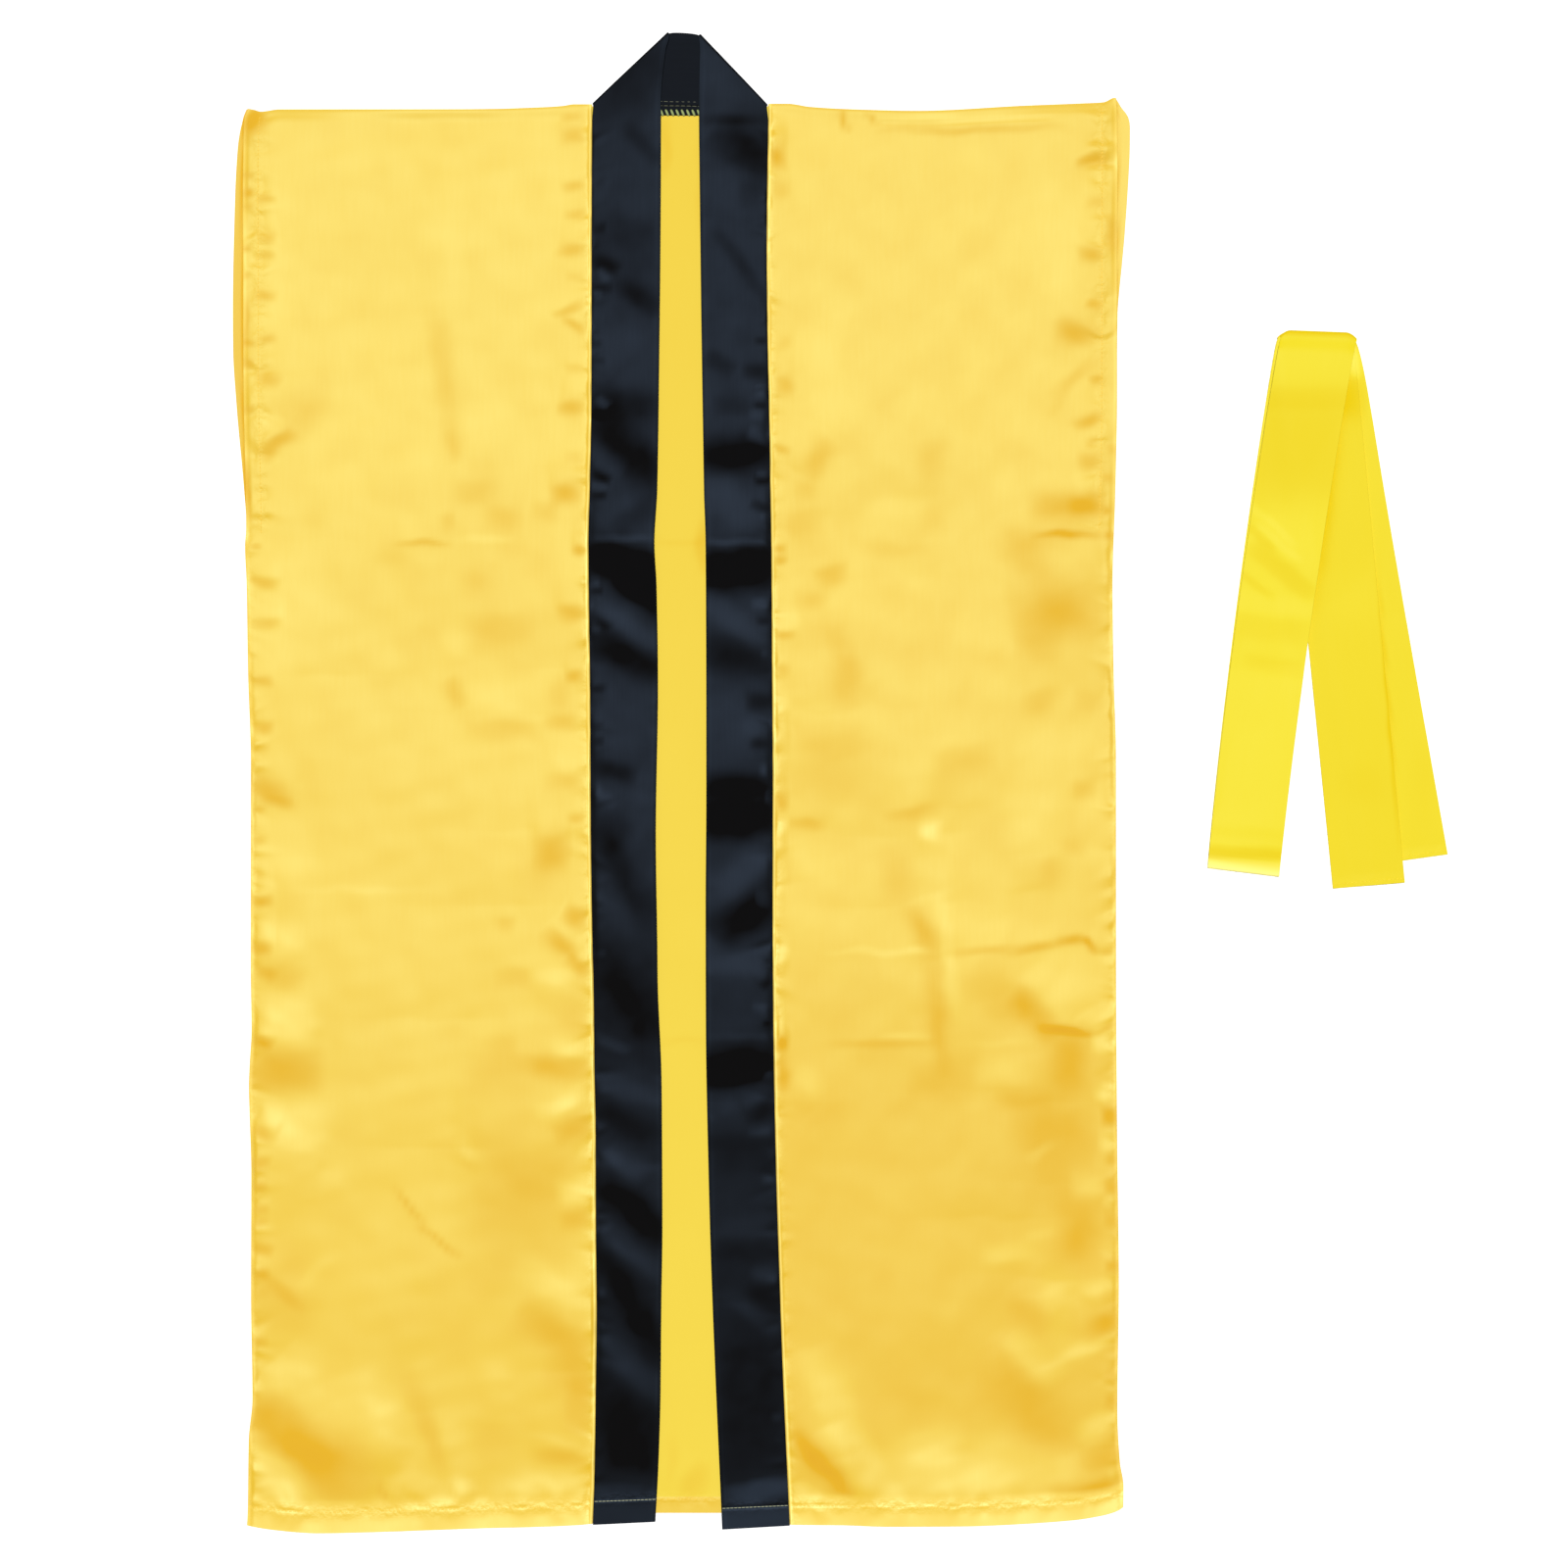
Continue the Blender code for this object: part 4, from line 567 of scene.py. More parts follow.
# Dark and light places of each front: middle x and y, angle and length of the long way, half the short way,
# strength.
rightMarks = (
    # armhole hem and what runs off it
    (-303, 486, 30, 28, 8, 1.3), (-306, 447, 0, 12, 3, .7), (-306, 437, 0, 12, 3, 1.0),
    (-306, 428, 0, 12, 3, .6), (-307, 398, 0, 12, 3, .8), (-307, 378, 0, 10, 3, .6),
    (-307, 346, 90, 40, 2.5, .8), (-306, 330, 0, 12, 3, .7), (-306, 316, 0, 12, 3, .8),
    (-306, 283, 0, 12, 3, .7), (-306.5, 228, -83, 50, 2.2, 1.3), (-293, 432, 4, 16, 4, .7),
    (-293, 405, 0, 16, 4, .6), (-293, 392, 6, 16, 4, .6), (-293, 364, 0, 18, 4, .7),
    (-293, 335, 8, 18, 4, .6), (-291, 305, -16, 20, 4.5, .6), (-270, 290, 24, 56, 11, .28),
    (-286, 259, 42, 34, 6, .9), (-264, 278, 40, 50, 9, .25), (-291, 275, 20, 20, 7, -.4),
    (-284, 400, 90, 130, 9, -.25), (-301, 188, 0, 12, 2.5, .6), (-294, 162, -6, 26, 4, .9),
    (-292, 133, -4, 24, 5, .7), (-276, 145, 90, 96, 20, -.5),
    # upper middle
    (-168, 305, -83, 120, 8, .36), (-160, 400, 88, 90, 7, -.2), (-140, 272, 0, 40, 10, -.12),
    (-162, 258, -70, 26, 5, .3), (-183, 190, 0, 44, 2.5, .6), (-140, 193, 0, 44, 3, -.25),
    (-165, 205, 0, 14, 6, .35), (-125, 165, 90, 190, 45, .15), (-145, 226, 0, 38, 10, .42),
    (-125, 208, 0, 34, 10, .3), (-97, 212, 0, 22, 8, .35), (-142, 245, 0, 24, 9, .15),
    (-148, 163, 0, 26, 8, .15), (-120, 185, 0, 28, 9, .15), (-130, 128, 0, 58, 11, .36),
    (-187, 120, 0, 40, 12, .15), (-200, 215, 0, 50, 16, .12), (-158, 120, 0, 26, 9, -.2),
    (-228, 210, 0, 50, 14, -.15), (-205, 170, 0, 50, 16, .12),
    # upper part of the band's seam
    (-78, 490, 0, 20, 4, .5), (-78, 476, 0, 22, 6, .6), (-77, 441, 8, 20, 4, .6),
    (-75, 422, 6, 18, 3.5, .5), (-78, 396, -8, 24, 5, .8), (-76, 377, 0, 16, 4, .25),
    (-80, 354, 26, 26, 3.5, .7), (-76, 343, -30, 22, 3.5, .7), (-76, 312, 0, 18, 5, .3),
    (-79, 286, -6, 20, 6.5, .7), (-76, 251, 0, 18, 5, .25), (-82, 225, 0, 30, 8, .8),
    (-73, 185, 0, 14, 5, .9), (-78, 140, 0, 24, 7, .75),
    # side seam, upper part
    (-296, 93, -6, 20, 4, .6), (-296, 61, 0, 18, 4, .7), (-297, 45, 0, 14, 4, .25),
    (-292, 17, -22, 40, 8, .8), (-284, 8, -10, 30, 5, .4), (-298, 2, 0, 12, 2.5, .5),
    (-297, -18, 0, 14, 4, .5), (-298, -44, 0, 12, 3, .4), (-296, -61, 0, 18, 5, 1.0),
    (-296, -95, 0, 18, 6, 1.0), (-294, -112, -20, 22, 5, .8), (-279, -116, -10, 30, 11, .4),
    (-296, -160, -20, 20, 5, 1.1), (-281, -182, 0, 64, 16, 1.0), (-296, -225, -30, 22, 6, 1.2),
    (-280, -28, 0, 44, 16, -.35), (-283, -84, 0, 34, 10, -.5), (-281, -143, 0, 50, 16, -.6),
    (-277, -218, -14, 66, 19, -.75),
    # middle
    (-161, 85, -60, 24, 6, .5), (-125, 82, 0, 66, 10, -.22), (-125, 58, 0, 66, 9, .36),
    (-87, 85, 90, 30, 8, .35), (-76, 96, 0, 18, 5, .8), (-86, 64, 0, 26, 7, .5), (-78, 40, 0, 36, 9, -.15),
    (-84, 22, 0, 32, 8, .4), (-74, -3, 0, 16, 4, .6), (-93, -28, 0, 32, 13, .7),
    (-98, -38, 90, 52, 20, .22), (-125, -78, 0, 18, 6, .35), (-75, -73, -30, 24, 8, .9),
    (-86, -92, -36, 32, 6, .8), (-74, -108, -40, 26, 6, .8), (-92, -115, 0, 38, 6, -.5),
    (-118, -116, 0, 34, 8, .4), (-83, -142, 0, 46, 16, .35), (-78, -165, 0, 34, 6, -.4),
    (-128, -163, 0, 30, 8, .25), (-84, -179, 0, 50, 10, .8), (-122, -190, 90, 90, 30, .28),
    (-86, -204, 26, 40, 6, -.7), (-76, -222, 20, 34, 9, .7), (-225, -53, 0, 110, 2.5, -.2),
    (-118, -177, 0, 60, 9, .3),
    # side seam, lower part
    (-297, -246, 0, 16, 5, .8), (-297, -262, 0, 14, 4, .6), (-297, -279, 0, 14, 4, .6),
    (-297, -288, 0, 14, 3, .5), (-296, -307, 0, 18, 5, .7), (-297, -325, 0, 14, 4, .6),
    (-297, -336, 0, 14, 4, .3), (-280, -335, 90, 80, 20, .35), (-282, -337, -40, 50, 5, .5),
    (-257, -320, 52, 42, 4, -.35), (-255, -262, 22, 40, 7, -.4), (-297, -372, 0, 14, 4, .6),
    (-193, -277, -52, 44, 2.4, .65), (-172, -301, -38, 40, 2.4, .65), (-153, -236, -60, 22, 4, -.4),
    (-152, -248, -20, 16, 4, .3), (-278, -392, 0, 50, 13, -.45),
    # into the hem
    (-267, -449, -44, 118, 17, 1.25), (-236, -450, -44, 64, 14, .5), (-296, -424, 0, 30, 12, .3),
    (-284, -471, -42, 70, 11, -1.0), (-204, -432, -62, 100, 11, -.7), (-180, -432, -66, 90, 9, .55),
    (-158, -450, -76, 70, 9, -.6), (-190, -481, -30, 44, 7, -.7), (-168, -478, 20, 44, 9, -1.4),
    (-211, -479, -80, 24, 3.5, .7), (-189, -481, -40, 30, 3.5, .9), (-179, -479, 52, 20, 3.5, .6),
    (-161, -480, -48, 22, 3.5, .8), (-150, -481, 44, 18, 3.5, .6), (-248, -499, 0, 14, 3, .4),
    (-85, -498, 0, 14, 3, .4),
    # lower middle
    (-108, -255, 0, 84, 30, .45), (-115, -292, 0, 96, 46, .3), (-160, -345, 0, 90, 45, .12),
    (-68, -237, 0, 10, 5, -.5), (-76, -265, 0, 30, 10, -.6), (-75, -285, 0, 24, 7, .6),
    (-90, -331, -26, 62, 9, -.4), (-91, -366, -28, 66, 13, .9), (-78, -395, -10, 44, 16, .6),
    (-73, -418, 90, 50, 10, .6), (-86, -455, -6, 44, 7, .8), (-90, -440, -8, 40, 4, -.5),
    (-102, -470, 4, 76, 12, -.85), (-132, -392, 0, 24, 8, -.35), (-132, -440, 0, 40, 14, .3),
)
leftMarks = (
    # armhole hem and what runs off it
    (288, 458, 12, 26, 4.5, .9), (289, 431, 0, 18, 5, .4), (302, 408, 90, 26, 4, .7),
    (286, 393, 8, 22, 5, .75), (289, 357, -10, 14, 4, .7), (277, 338, -8, 38, 8, .8),
    (290, 305, 20, 12, 3, .6), (285, 277, 28, 28, 4.5, .8), (287, 262, 30, 12, 3, .4),
    (286, 248, 0, 18, 6, .5), (301, 256, 0, 10, 4, .5), (300, 236, 0, 10, 4, .5),
    (272, 217, 0, 66, 11, .75), (284, 216, 0, 28, 7, .45), (272, 196, 0, 54, 3, .9),
    (301, 196, 0, 10, 3.5, .9), (299, 212, 0, 10, 3, .6), (284, 236, 0, 22, 7, -.3),
    (278, 308, 38, 58, 5, .28), (268, 294, 55, 40, 4, .2), (262, 405, 90, 90, 20, -.2),
    # below the armhole
    (264, 141, 8, 72, 18, .85), (243, 178, -62, 70, 16, .35), (254, 192, 0, 56, 9, .35),
    (250, 116, 0, 40, 11, .35), (250, 80, 0, 28, 10, .35), (285, 80, 0, 26, 8, .3), (282, 17, 0, 18, 7, .4),
    (257, -42, 90, 26, 8, .3), (276, -23, 0, 22, 6, .25), (256, 40, 0, 46, 18, -.2),
    (247, 0, 0, 50, 20, -.25), (285, 58, 0, 30, 12, -.15),
    # shoulder and upper middle
    (114, 487, -70, 20, 2.5, .7), (132, 490, -55, 16, 2.5, .6), (205, 481, 1, 150, 3, .45),
    (195, 489, 0, 140, 3, -.35), (96, 250, 60, 34, 9, .6), (87, 203, 0, 32, 12, .4),
    (86, 228, 0, 20, 8, .25), (106, 168, 25, 28, 7, .5), (89, 150, 0, 28, 7, .4),
    (113, 115, -60, 50, 8, .3), (175, 243, 90, 46, 10, .32), (176, 208, 90, 30, 8, .2),
    (150, 186, 0, 50, 6, .2), (101, 308, 90, 110, 12, -.2), (151, 216, 0, 48, 11, -.15),
    (165, 120, 90, 90, 34, .12), (100, 118, 90, 60, 18, .15), (90, 185, 0, 40, 8, .2),
    # band's seam
    (66, 461, 0, 18, 8, .9), (67, 440, 0, 18, 7, .35), (72, 330, 0, 14, 6, .3), (71, 300, 0, 18, 7, .6),
    (69, 256, -15, 18, 3.5, .6), (66, 187, 0, 14, 3, .8), (67, 179, 0, 14, 4, .7), (70, 126, 0, 18, 4, .6),
    (69, 102, 0, 16, 4, .4), (66, 68, 0, 14, 3, .6), (67, 8, 0, 16, 7, .8), (86, -8, -14, 32, 4.5, .5),
    (68, -163, 0, 14, 6, 1.1), (70, -184, 90, 30, 6, .7), (73, 136, 0, 20, 8, -.4),
    (68, 75, 0, 16, 12, -.5), (68, -8, 0, 14, 7, -.9), (84, -32, -70, 32, 7, -.25),
    (67, -95, 0, 14, 9, -.7), (90, -189, -50, 30, 8, -.3), (67, -140, 0, 12, 10, -.5),
    (67, -45, 0, 12, 9, -.5),
    # middle, with the soft upright ridge
    (115, 92, 90, 44, 11, .4), (105, 36, 0, 60, 22, .32), (198, 36, 10, 50, 12, .28),
    (158, 88, 0, 46, 10, -.12), (161, 30, 90, 50, 14, -.2), (160, 0, 8, 44, 5, .45),
    (175, -12, 0, 20, 8, -.9), (178, -38, 90, 50, 11, -.35), (150, -42, 90, 50, 12, .35),
    (168, -83, -66, 44, 8, .75), (187, -95, -84, 110, 4, -.6), (179, -140, -84, 96, 7, .6),
    (100, -120, 0, 80, 30, .12), (205, -70, 0, 60, 20, -.15),
    # packing creases and the fold that crosses them
    (141, -97, 0, 90, 2.5, -.3), (166, -97, 0, 16, 3, -.3), (212, -97, 3, 60, 3.4, .45),
    (250, -94, 10, 36, 3.4, .8), (274, -89, 4, 28, 3.6, .95), (287, -93, -50, 18, 3, .9),
    (298, -98, 0, 10, 3, .5), (275, -125, 0, 74, 22, -.6), (247, -141, -46, 48, 11, .9),
    (224, -125, -35, 54, 15, .4), (272, -153, -9, 50, 3, 1.1), (298, -152, 40, 18, 3, .7),
    (156, -157, 0, 40, 3, -.35), (140, -162, 0, 90, 3.4, .4), (224, -161, 0, 76, 3, -.15),
    (297, -160, 0, 20, 8, -1.0), (271, -174, 90, 60, 14, .75), (225, -181, 0, 46, 10, -.3),
    (299, -196, 10, 22, 7, -.8), (240, -201, 0, 44, 8, .4), (260, -218, 0, 64, 14, .25),
    (301, -213, 0, 16, 6, .8), (182, -188, 0, 50, 18, .3),
    # side seam, lower part
    (96, -212, 0, 40, 10, .25), (251, -238, 42, 26, 3.5, -.35), (262, -240, 90, 90, 26, .42),
    (298, -230, 0, 16, 8, -.4), (302, -243, 0, 12, 5, .5), (284, -262, 0, 26, 9, -.4),
    (302, -262, 0, 12, 5, .5), (300, -273, 0, 12, 4, -.3), (302, -286, 0, 14, 6, .5),
    (299, -305, 0, 16, 7, -.25), (303, -318, 0, 14, 6, .6), (294, -333, 20, 28, 6, -.5),
    (297, -357, 8, 34, 9, .8), (278, -378, 20, 62, 5.5, -.7), (302, -395, 0, 12, 5, .35),
    (302, -414, 0, 14, 6, .5), (290, -430, 28, 40, 7, -.75), (297, -452, 14, 36, 9, .5),
    (303, -466, 0, 10, 4, -.3), (278, -296, 85, 66, 15, .6), (232, -309, 0, 50, 8, -.5),
    (250, -296, 15, 30, 4, -.25), (270, -334, -40, 60, 12, -.5), (264, -358, -75, 52, 10, -.45),
    (241, -352, -40, 40, 10, .4), (247, -384, -42, 54, 11, -.75), (242, -414, -46, 100, 19, .6),
    # into the hem
    (105, -412, -68, 80, 14, -.85), (128, -458, -58, 76, 10, -1.4), (101, -461, -49, 80, 7.5, 1.05),
    (86, -448, -64, 50, 4, .3), (190, -464, 4, 140, 20, -1.0), (172, -480, 0, 110, 9, -.9),
    (172, -447, 14, 60, 14, -.6), (88, -478, -34, 30, 4, -.9), (96, -488, -30, 24, 3, -.8),
    (262, -462, 0, 36, 10, -.35), (287, -479, 12, 56, 9, .95), (165, -400, 0, 100, 30, .12),
    (290, -492, 12, 40, 8, .5), (120, -345, 0, 60, 16, .1),
)


def makeFront(name, node, half, marks, seed):
    # one front: a grid from the side seam to the band's seam, its height the sum of folds, puckers and waves
    sign, own, width, hemDepth = half["sign"], frontCloth, frontCloth["width"], frontCloth["hemDepth"]
    across = steps(
        0, .5, 2, 1.1, 6.5, 2.2, 32, 4.1, width - 32, 2.2, width - 6.5, 1.1, width - 2.5, .5, width)
    levels = steps(coat["hemY"], .6, coat["hemY"] + 2.4, 1.6, coat["hemY"] + 12, .8, coat["hemY"] + 16.8,
                   2.0, coat["shoulderY"] - 7, .9, coat["shoulderY"])
    u, y = np.meshgrid(across / width, levels)
    outer = curve(half["side"], "y", "edge", y)
    inner = curve(half["band"], "y", "outer", y) + own["seamGap"]
    x = sign * (outer + (inner - outer) * u)
    nearTop = np.clip(1 - (coat["shoulderY"] - y) / coat["edgeBlend"], 0, 1)
    nearHem = np.clip(1 - (y - coat["hemY"]) / coat["edgeBlend"], 0, 1)
    fromHem = y - coat["hemY"]
    y = y + (curve(coat["shoulder"], "x", "y", x) - coat["shoulderY"]) * nearTop
    y = y + (curve(half["hem"], "x", "y", x) - coat["hemY"]) * nearHem
    fromSide, fromBand = np.abs(sign * outer - x), np.abs(x - sign * inner)
    fromTop = curve(coat["shoulder"], "x", "y", x) - y
    fromHemStitch, fromArmholeStitch = fromHem - hemDepth, fromSide - own["armholeHemDepth"]
    inArmhole = ease((y - coat["armholeEndY"]) / 8)

    pinned = ease(fromSide / own["sidePin"]) * ease(fromBand / own["bandPin"]) * ease(fromTop / own["topPin"])
    folds, tone = foldsAt(marks, x, y, seed + 5)
    mottles = waves(x, y, seed + 7, *own["mottleLength"], own["mottleWaves"]) * own["mottling"]
    tone = tone * own["toneStrength"] + mottles
    height = folds * pinned * (own["hemFoldShare"] + (1 - own["hemFoldShare"]) * ease((fromHem - 2) / 30))
    height += waves(x, y, seed, *own["waveLength"]) * own["waveHeight"] * pinned
    height += waves(x, y, seed + 1, *own["crumpleLength"], own["crumpleWaves"]) * own["crumple"] * pinned
    fromStitch = np.abs(fromSide - own["armholeHemDepth"] * inArmhole)
    height += seamPuckers(seed + 2, y, fromStitch, **own["sidePuckers"]) * ease(fromTop / own["topPin"])
    height += seamPuckers(seed + 3, y, fromBand, **own["bandPuckers"]) * ease(fromTop / own["topPin"])
    low, high = sorted(sign * end for end in own["hemPuckerEnds"])
    hemPuckers = dict(own["hemPuckers"], low=low, high=high)
    height += seamPuckers(seed + 4, x, np.abs(fromHemStitch), **hemPuckers) * pinned
    atSide = 1 - (1 - np.clip(fromSide / own["sideFall"], 0, 1)) ** own["fallPower"]
    atTop = 1 - (1 - np.clip(fromTop / own["topFall"], 0, 1)) ** own["fallPower"]
    middle = own["level"] - own["edgeFall"] + (own["edgeFall"] + height) * atSide * atTop
    middle = middle + own["hemLift"] * np.clip(1 - fromHem / hemDepth, 0, 1) ** 1.3
    roll = own["rollHeight"] * bell(fromBand - own["rollPlace"], own["rollWidth"])
    middle = middle + (roll - own["seamDip"] * bell(fromBand, own["seamDipWidth"])) * ease(fromTop / 4)

    hem = own["hemRise"] * (1 - ease((fromHemStitch + 1.4) / own["hemStep"]))
    hemGroove = own["groove"] * bell(fromHemStitch, 1.0)
    armholeHem = own["hemRise"] * inArmhole * (1 - ease((fromArmholeStitch + 1) / own["hemStep"]))
    armholeGroove = own["groove"] * inArmhole * bell(fromArmholeStitch, 1.2)
    line = own["shoulderLine"]
    start, stop = line["ends"]
    shoulderLine = line["depth"] * bell(fromTop - line["place"], line["width"]) * ease(
        (x - start) / line["fade"]) * ease((stop - x) / line["fade"])
    halfWall = own["wall"] / 2
    middle = np.maximum(middle - hemGroove - armholeGroove - shoulderLine, own["lowest"])
    upper = np.stack((x, y, middle + halfWall + np.maximum(hem, armholeHem)), axis=-1)
    lower = np.stack((x, y, middle - halfWall), axis=-1)
    flat = np.stack((x, y), axis=-1)

    inHem = 1 - ease((fromHemStitch - 4) / 6)
    # painted highlights: a pale line along the band's seam and the side edges, and a lighter hem strip
    glow = own["seamGlow"] * bell(fromBand - 1.0, 1.0) + own["sideGlow"] * bell(fromSide - 1, 1.3)
    glow += half["hemGlow"] * inHem
    pull = bell(fromHemStitch, 4) + bell(fromBand, 6) * own["seamPull"]
    pull += inArmhole * bell(fromArmholeStitch, 4)
    pull += (1 - inArmhole) * bell(fromSide, 5) * own["seamPull"]
    tone = tone * (own["hemToneShare"] + (1 - own["hemToneShare"]) * ease((fromHemStitch + 3) / 9))
    tone += half["hemTone"] * inHem
    tone -= own["seamLight"] * bell(fromBand - 2, 2.5)
    # painted shade: lowTone darkens the front towards the hem, and the half's tone darkens it all over
    start, stop = own["lowToneY"]
    tone += half["tone"] + half["lowTone"] * ease((start - y) / (start - stop))
    if sign > 0:
        grids = (upper, lower, flat, glow, pull, tone)
        upper, lower, flat, glow, pull, tone = (grid[:, ::-1] for grid in grids)
    piece = wallMesh(name, upper, lower, flat, goldenSatin, glow=glow, shade=tone, pull=np.clip(pull, 0, 1))
    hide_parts(node)
    hemRow = np.argmin(np.abs(levels - coat["hemY"] - hemDepth))
    column = np.argmin(np.abs(across - own["armholeHemDepth"]))
    column = column if sign < 0 else len(across) - 1 - column
    armhole = upper[(levels > coat["armholeEndY"]) & (levels < coat["shoulderY"] - 3), column]
    threads = [stitchRow(name + "_hem_stitches", upper[hemRow, 2:-2], goldenThread, "golden_satin"),
               stitchRow(name + "_armhole_stitches", armhole, goldenThread, "golden_satin")]
    return piece, threads


# The band's painted shade: tone all over, rollTone where it turns under and neckTone on the strip across the
# neck.
# Light places below paleFrom get a painted highlight, paleGlow, where the light no longer meets the band at
# its sheen.
# foldGlow is a painted highlight along the band's fold
bandCloth = dict(
    wall=0.9, width=48.0, level=2.45, neckLevel=0.65, footRadius=0.5, peakRadius=1.3, radiusPower=0.7,
    turnStartY=395.0, turnRows=69, rollRows=12, neckRows=46, rampY=(455.0, 487.0), hemRise=0.4, hemGroove=0.2,
    seamFall=0.2, seamFallWidth=0.8, foldFall=0.15, foldFallWidth=2.2,
    foldLift=0.065, foldEdge=2.6, foldFading=3, foldWander=0.8,
    waveHeight=0.25, waveLength=(40, 150), crumple=0.05, crumpleLength=(12, 34), crumpleWaves=24,
    mottling=0.1, mottleLength=(7, 30), mottleWaves=40, neckWaveHeight=0.3,
    neckWaveLength=(40, 110), neckBow=1.5,
    seamPuckers=dict(count=74, low=-486, high=480, height=.42, reach=11),
    foldPuckers=dict(count=26, low=-486, high=480, height=.15, reach=9),
    tone=0.08, toneStrength=1.2, lowToneY=(-230.0, -290.0), rollTone=0.3, neckTone=0.8,
    paleFrom=-440.0, paleFade=30.0, paleGlow=0.6, foldGlow=0.12, foldGlowPlace=0.94, foldGlowWidth=0.02,
    farFromHem=999.0,
)
rightBandMarks = (
    # places as in rightMarks, from the neck down
    (-36, 517, 40, 84, 22, 0.6), (-28, 471, -46, 40, 6, 0.45), (-38, 408, -20, 50, 16, .35),
    (-60, 412, 0, 12, 5, 0.5), (-42, 378, -30, 97, 26, 0.25), (-55, 386, -25, 26, 6, 0.6),
    (-55.5, 379, -50, 12, 3.5, -0.7), (-58, 369, 0, 18, 4, 0.5), (-61, 364.5, 0, 8, 3, -0.6),
    (-32, 364, -35, 42, 8, 0.55), (-45, 328, 0, 65, 14, -0.2), (-61.5, 330, 0, 12, 3, 0.5),
    (-60.7, 318, 0, 12, 3, 0.5), (-40, 288, -10, 67, 12, 0.7), (-57, 288.5, -40, 12, 4, -0.9),
    (-60, 280, 0, 12, 3, 0.5), (-40, 256, -43, 86, 17, 0.95), (-55, 249, -40, 34, 7, -0.35),
    (-58, 236.7, -20, 16, 4, 0.9), (-60, 229.7, 0, 12, 3, -0.5), (-60, 223.6, 0, 14, 4, 0.8),
    (-38, 210, 0, 65, 14, -0.15), (-32, 209, 30, 42, 9, .5), (-44, 193.6, 0, 56, 2.5, -0.7),
    (-40, 174, -20, 78, 17, 1.4), (-25, 153, -42, 54, 13, 1.0), (-62.5, 162.5, 0, 10, 4, -0.7),
    (-61, 155.5, 0, 12, 3, 0.6), (-42, 133, -34, 67, 7, -0.6), (-58, 136, -40, 20, 4, 0.7),
    (-62.5, 129, 0, 8, 3, -0.5), (-40, 111, -26, 72, 13, 1.0), (-40, 68, 0, 65, 22, -0.2),
    (-60, 87, 0, 12, 4, 0.7), (-61, 62, 0, 12, 3, 0.5), (-60, 50.7, 0, 12, 4, 0.6),
    (-50, 30, -15, 40, 7, 0.8), (-61.6, 19, 0, 10, 4, -0.6), (-57, 12, -40, 26, 5, -0.5),
    (-28, 4, 90, 48, 8, -0.35), (-42, -42, -58, 90, 12, 0.7), (-52, -12, -20, 40, 14, .35),
    (-47, -70, -50, 54, 8, -0.25), (-30, -46, 0, 20, 8, -0.2), (-42, -134, 0, 90, 52, .55),
    (-40, -127, -55, 121, 16, .4), (-59, -98, 0, 10, 3, -0.4), (-51, -162, -25, 32, 4, -0.9),
    (-38, -195, -18, 63, 8, -0.6), (-40, -218, -30, 67, 11, 0.8), (-43, -245, -30, 46, 8, -1.0),
    (-36, -278, -42, 82, 13, 0.95), (-37, -308, -41, 71, 6.5, -1.05), (-36, -345, -60, 121, 13, 0.8),
    (-58, -336, 0, 8, 3, -0.5), (-58, -360, 0, 8, 3, -0.5), (-36, -391, -42, 73, 9, -1.25),
    (-42, -425, -70, 130, 26, 0.45), (-39, -449, -40, 40, 12, 0.12), (-42, -440, 0, 70, 40, .3),
    (-41, -476, 0, 70, 9, -.9),
)
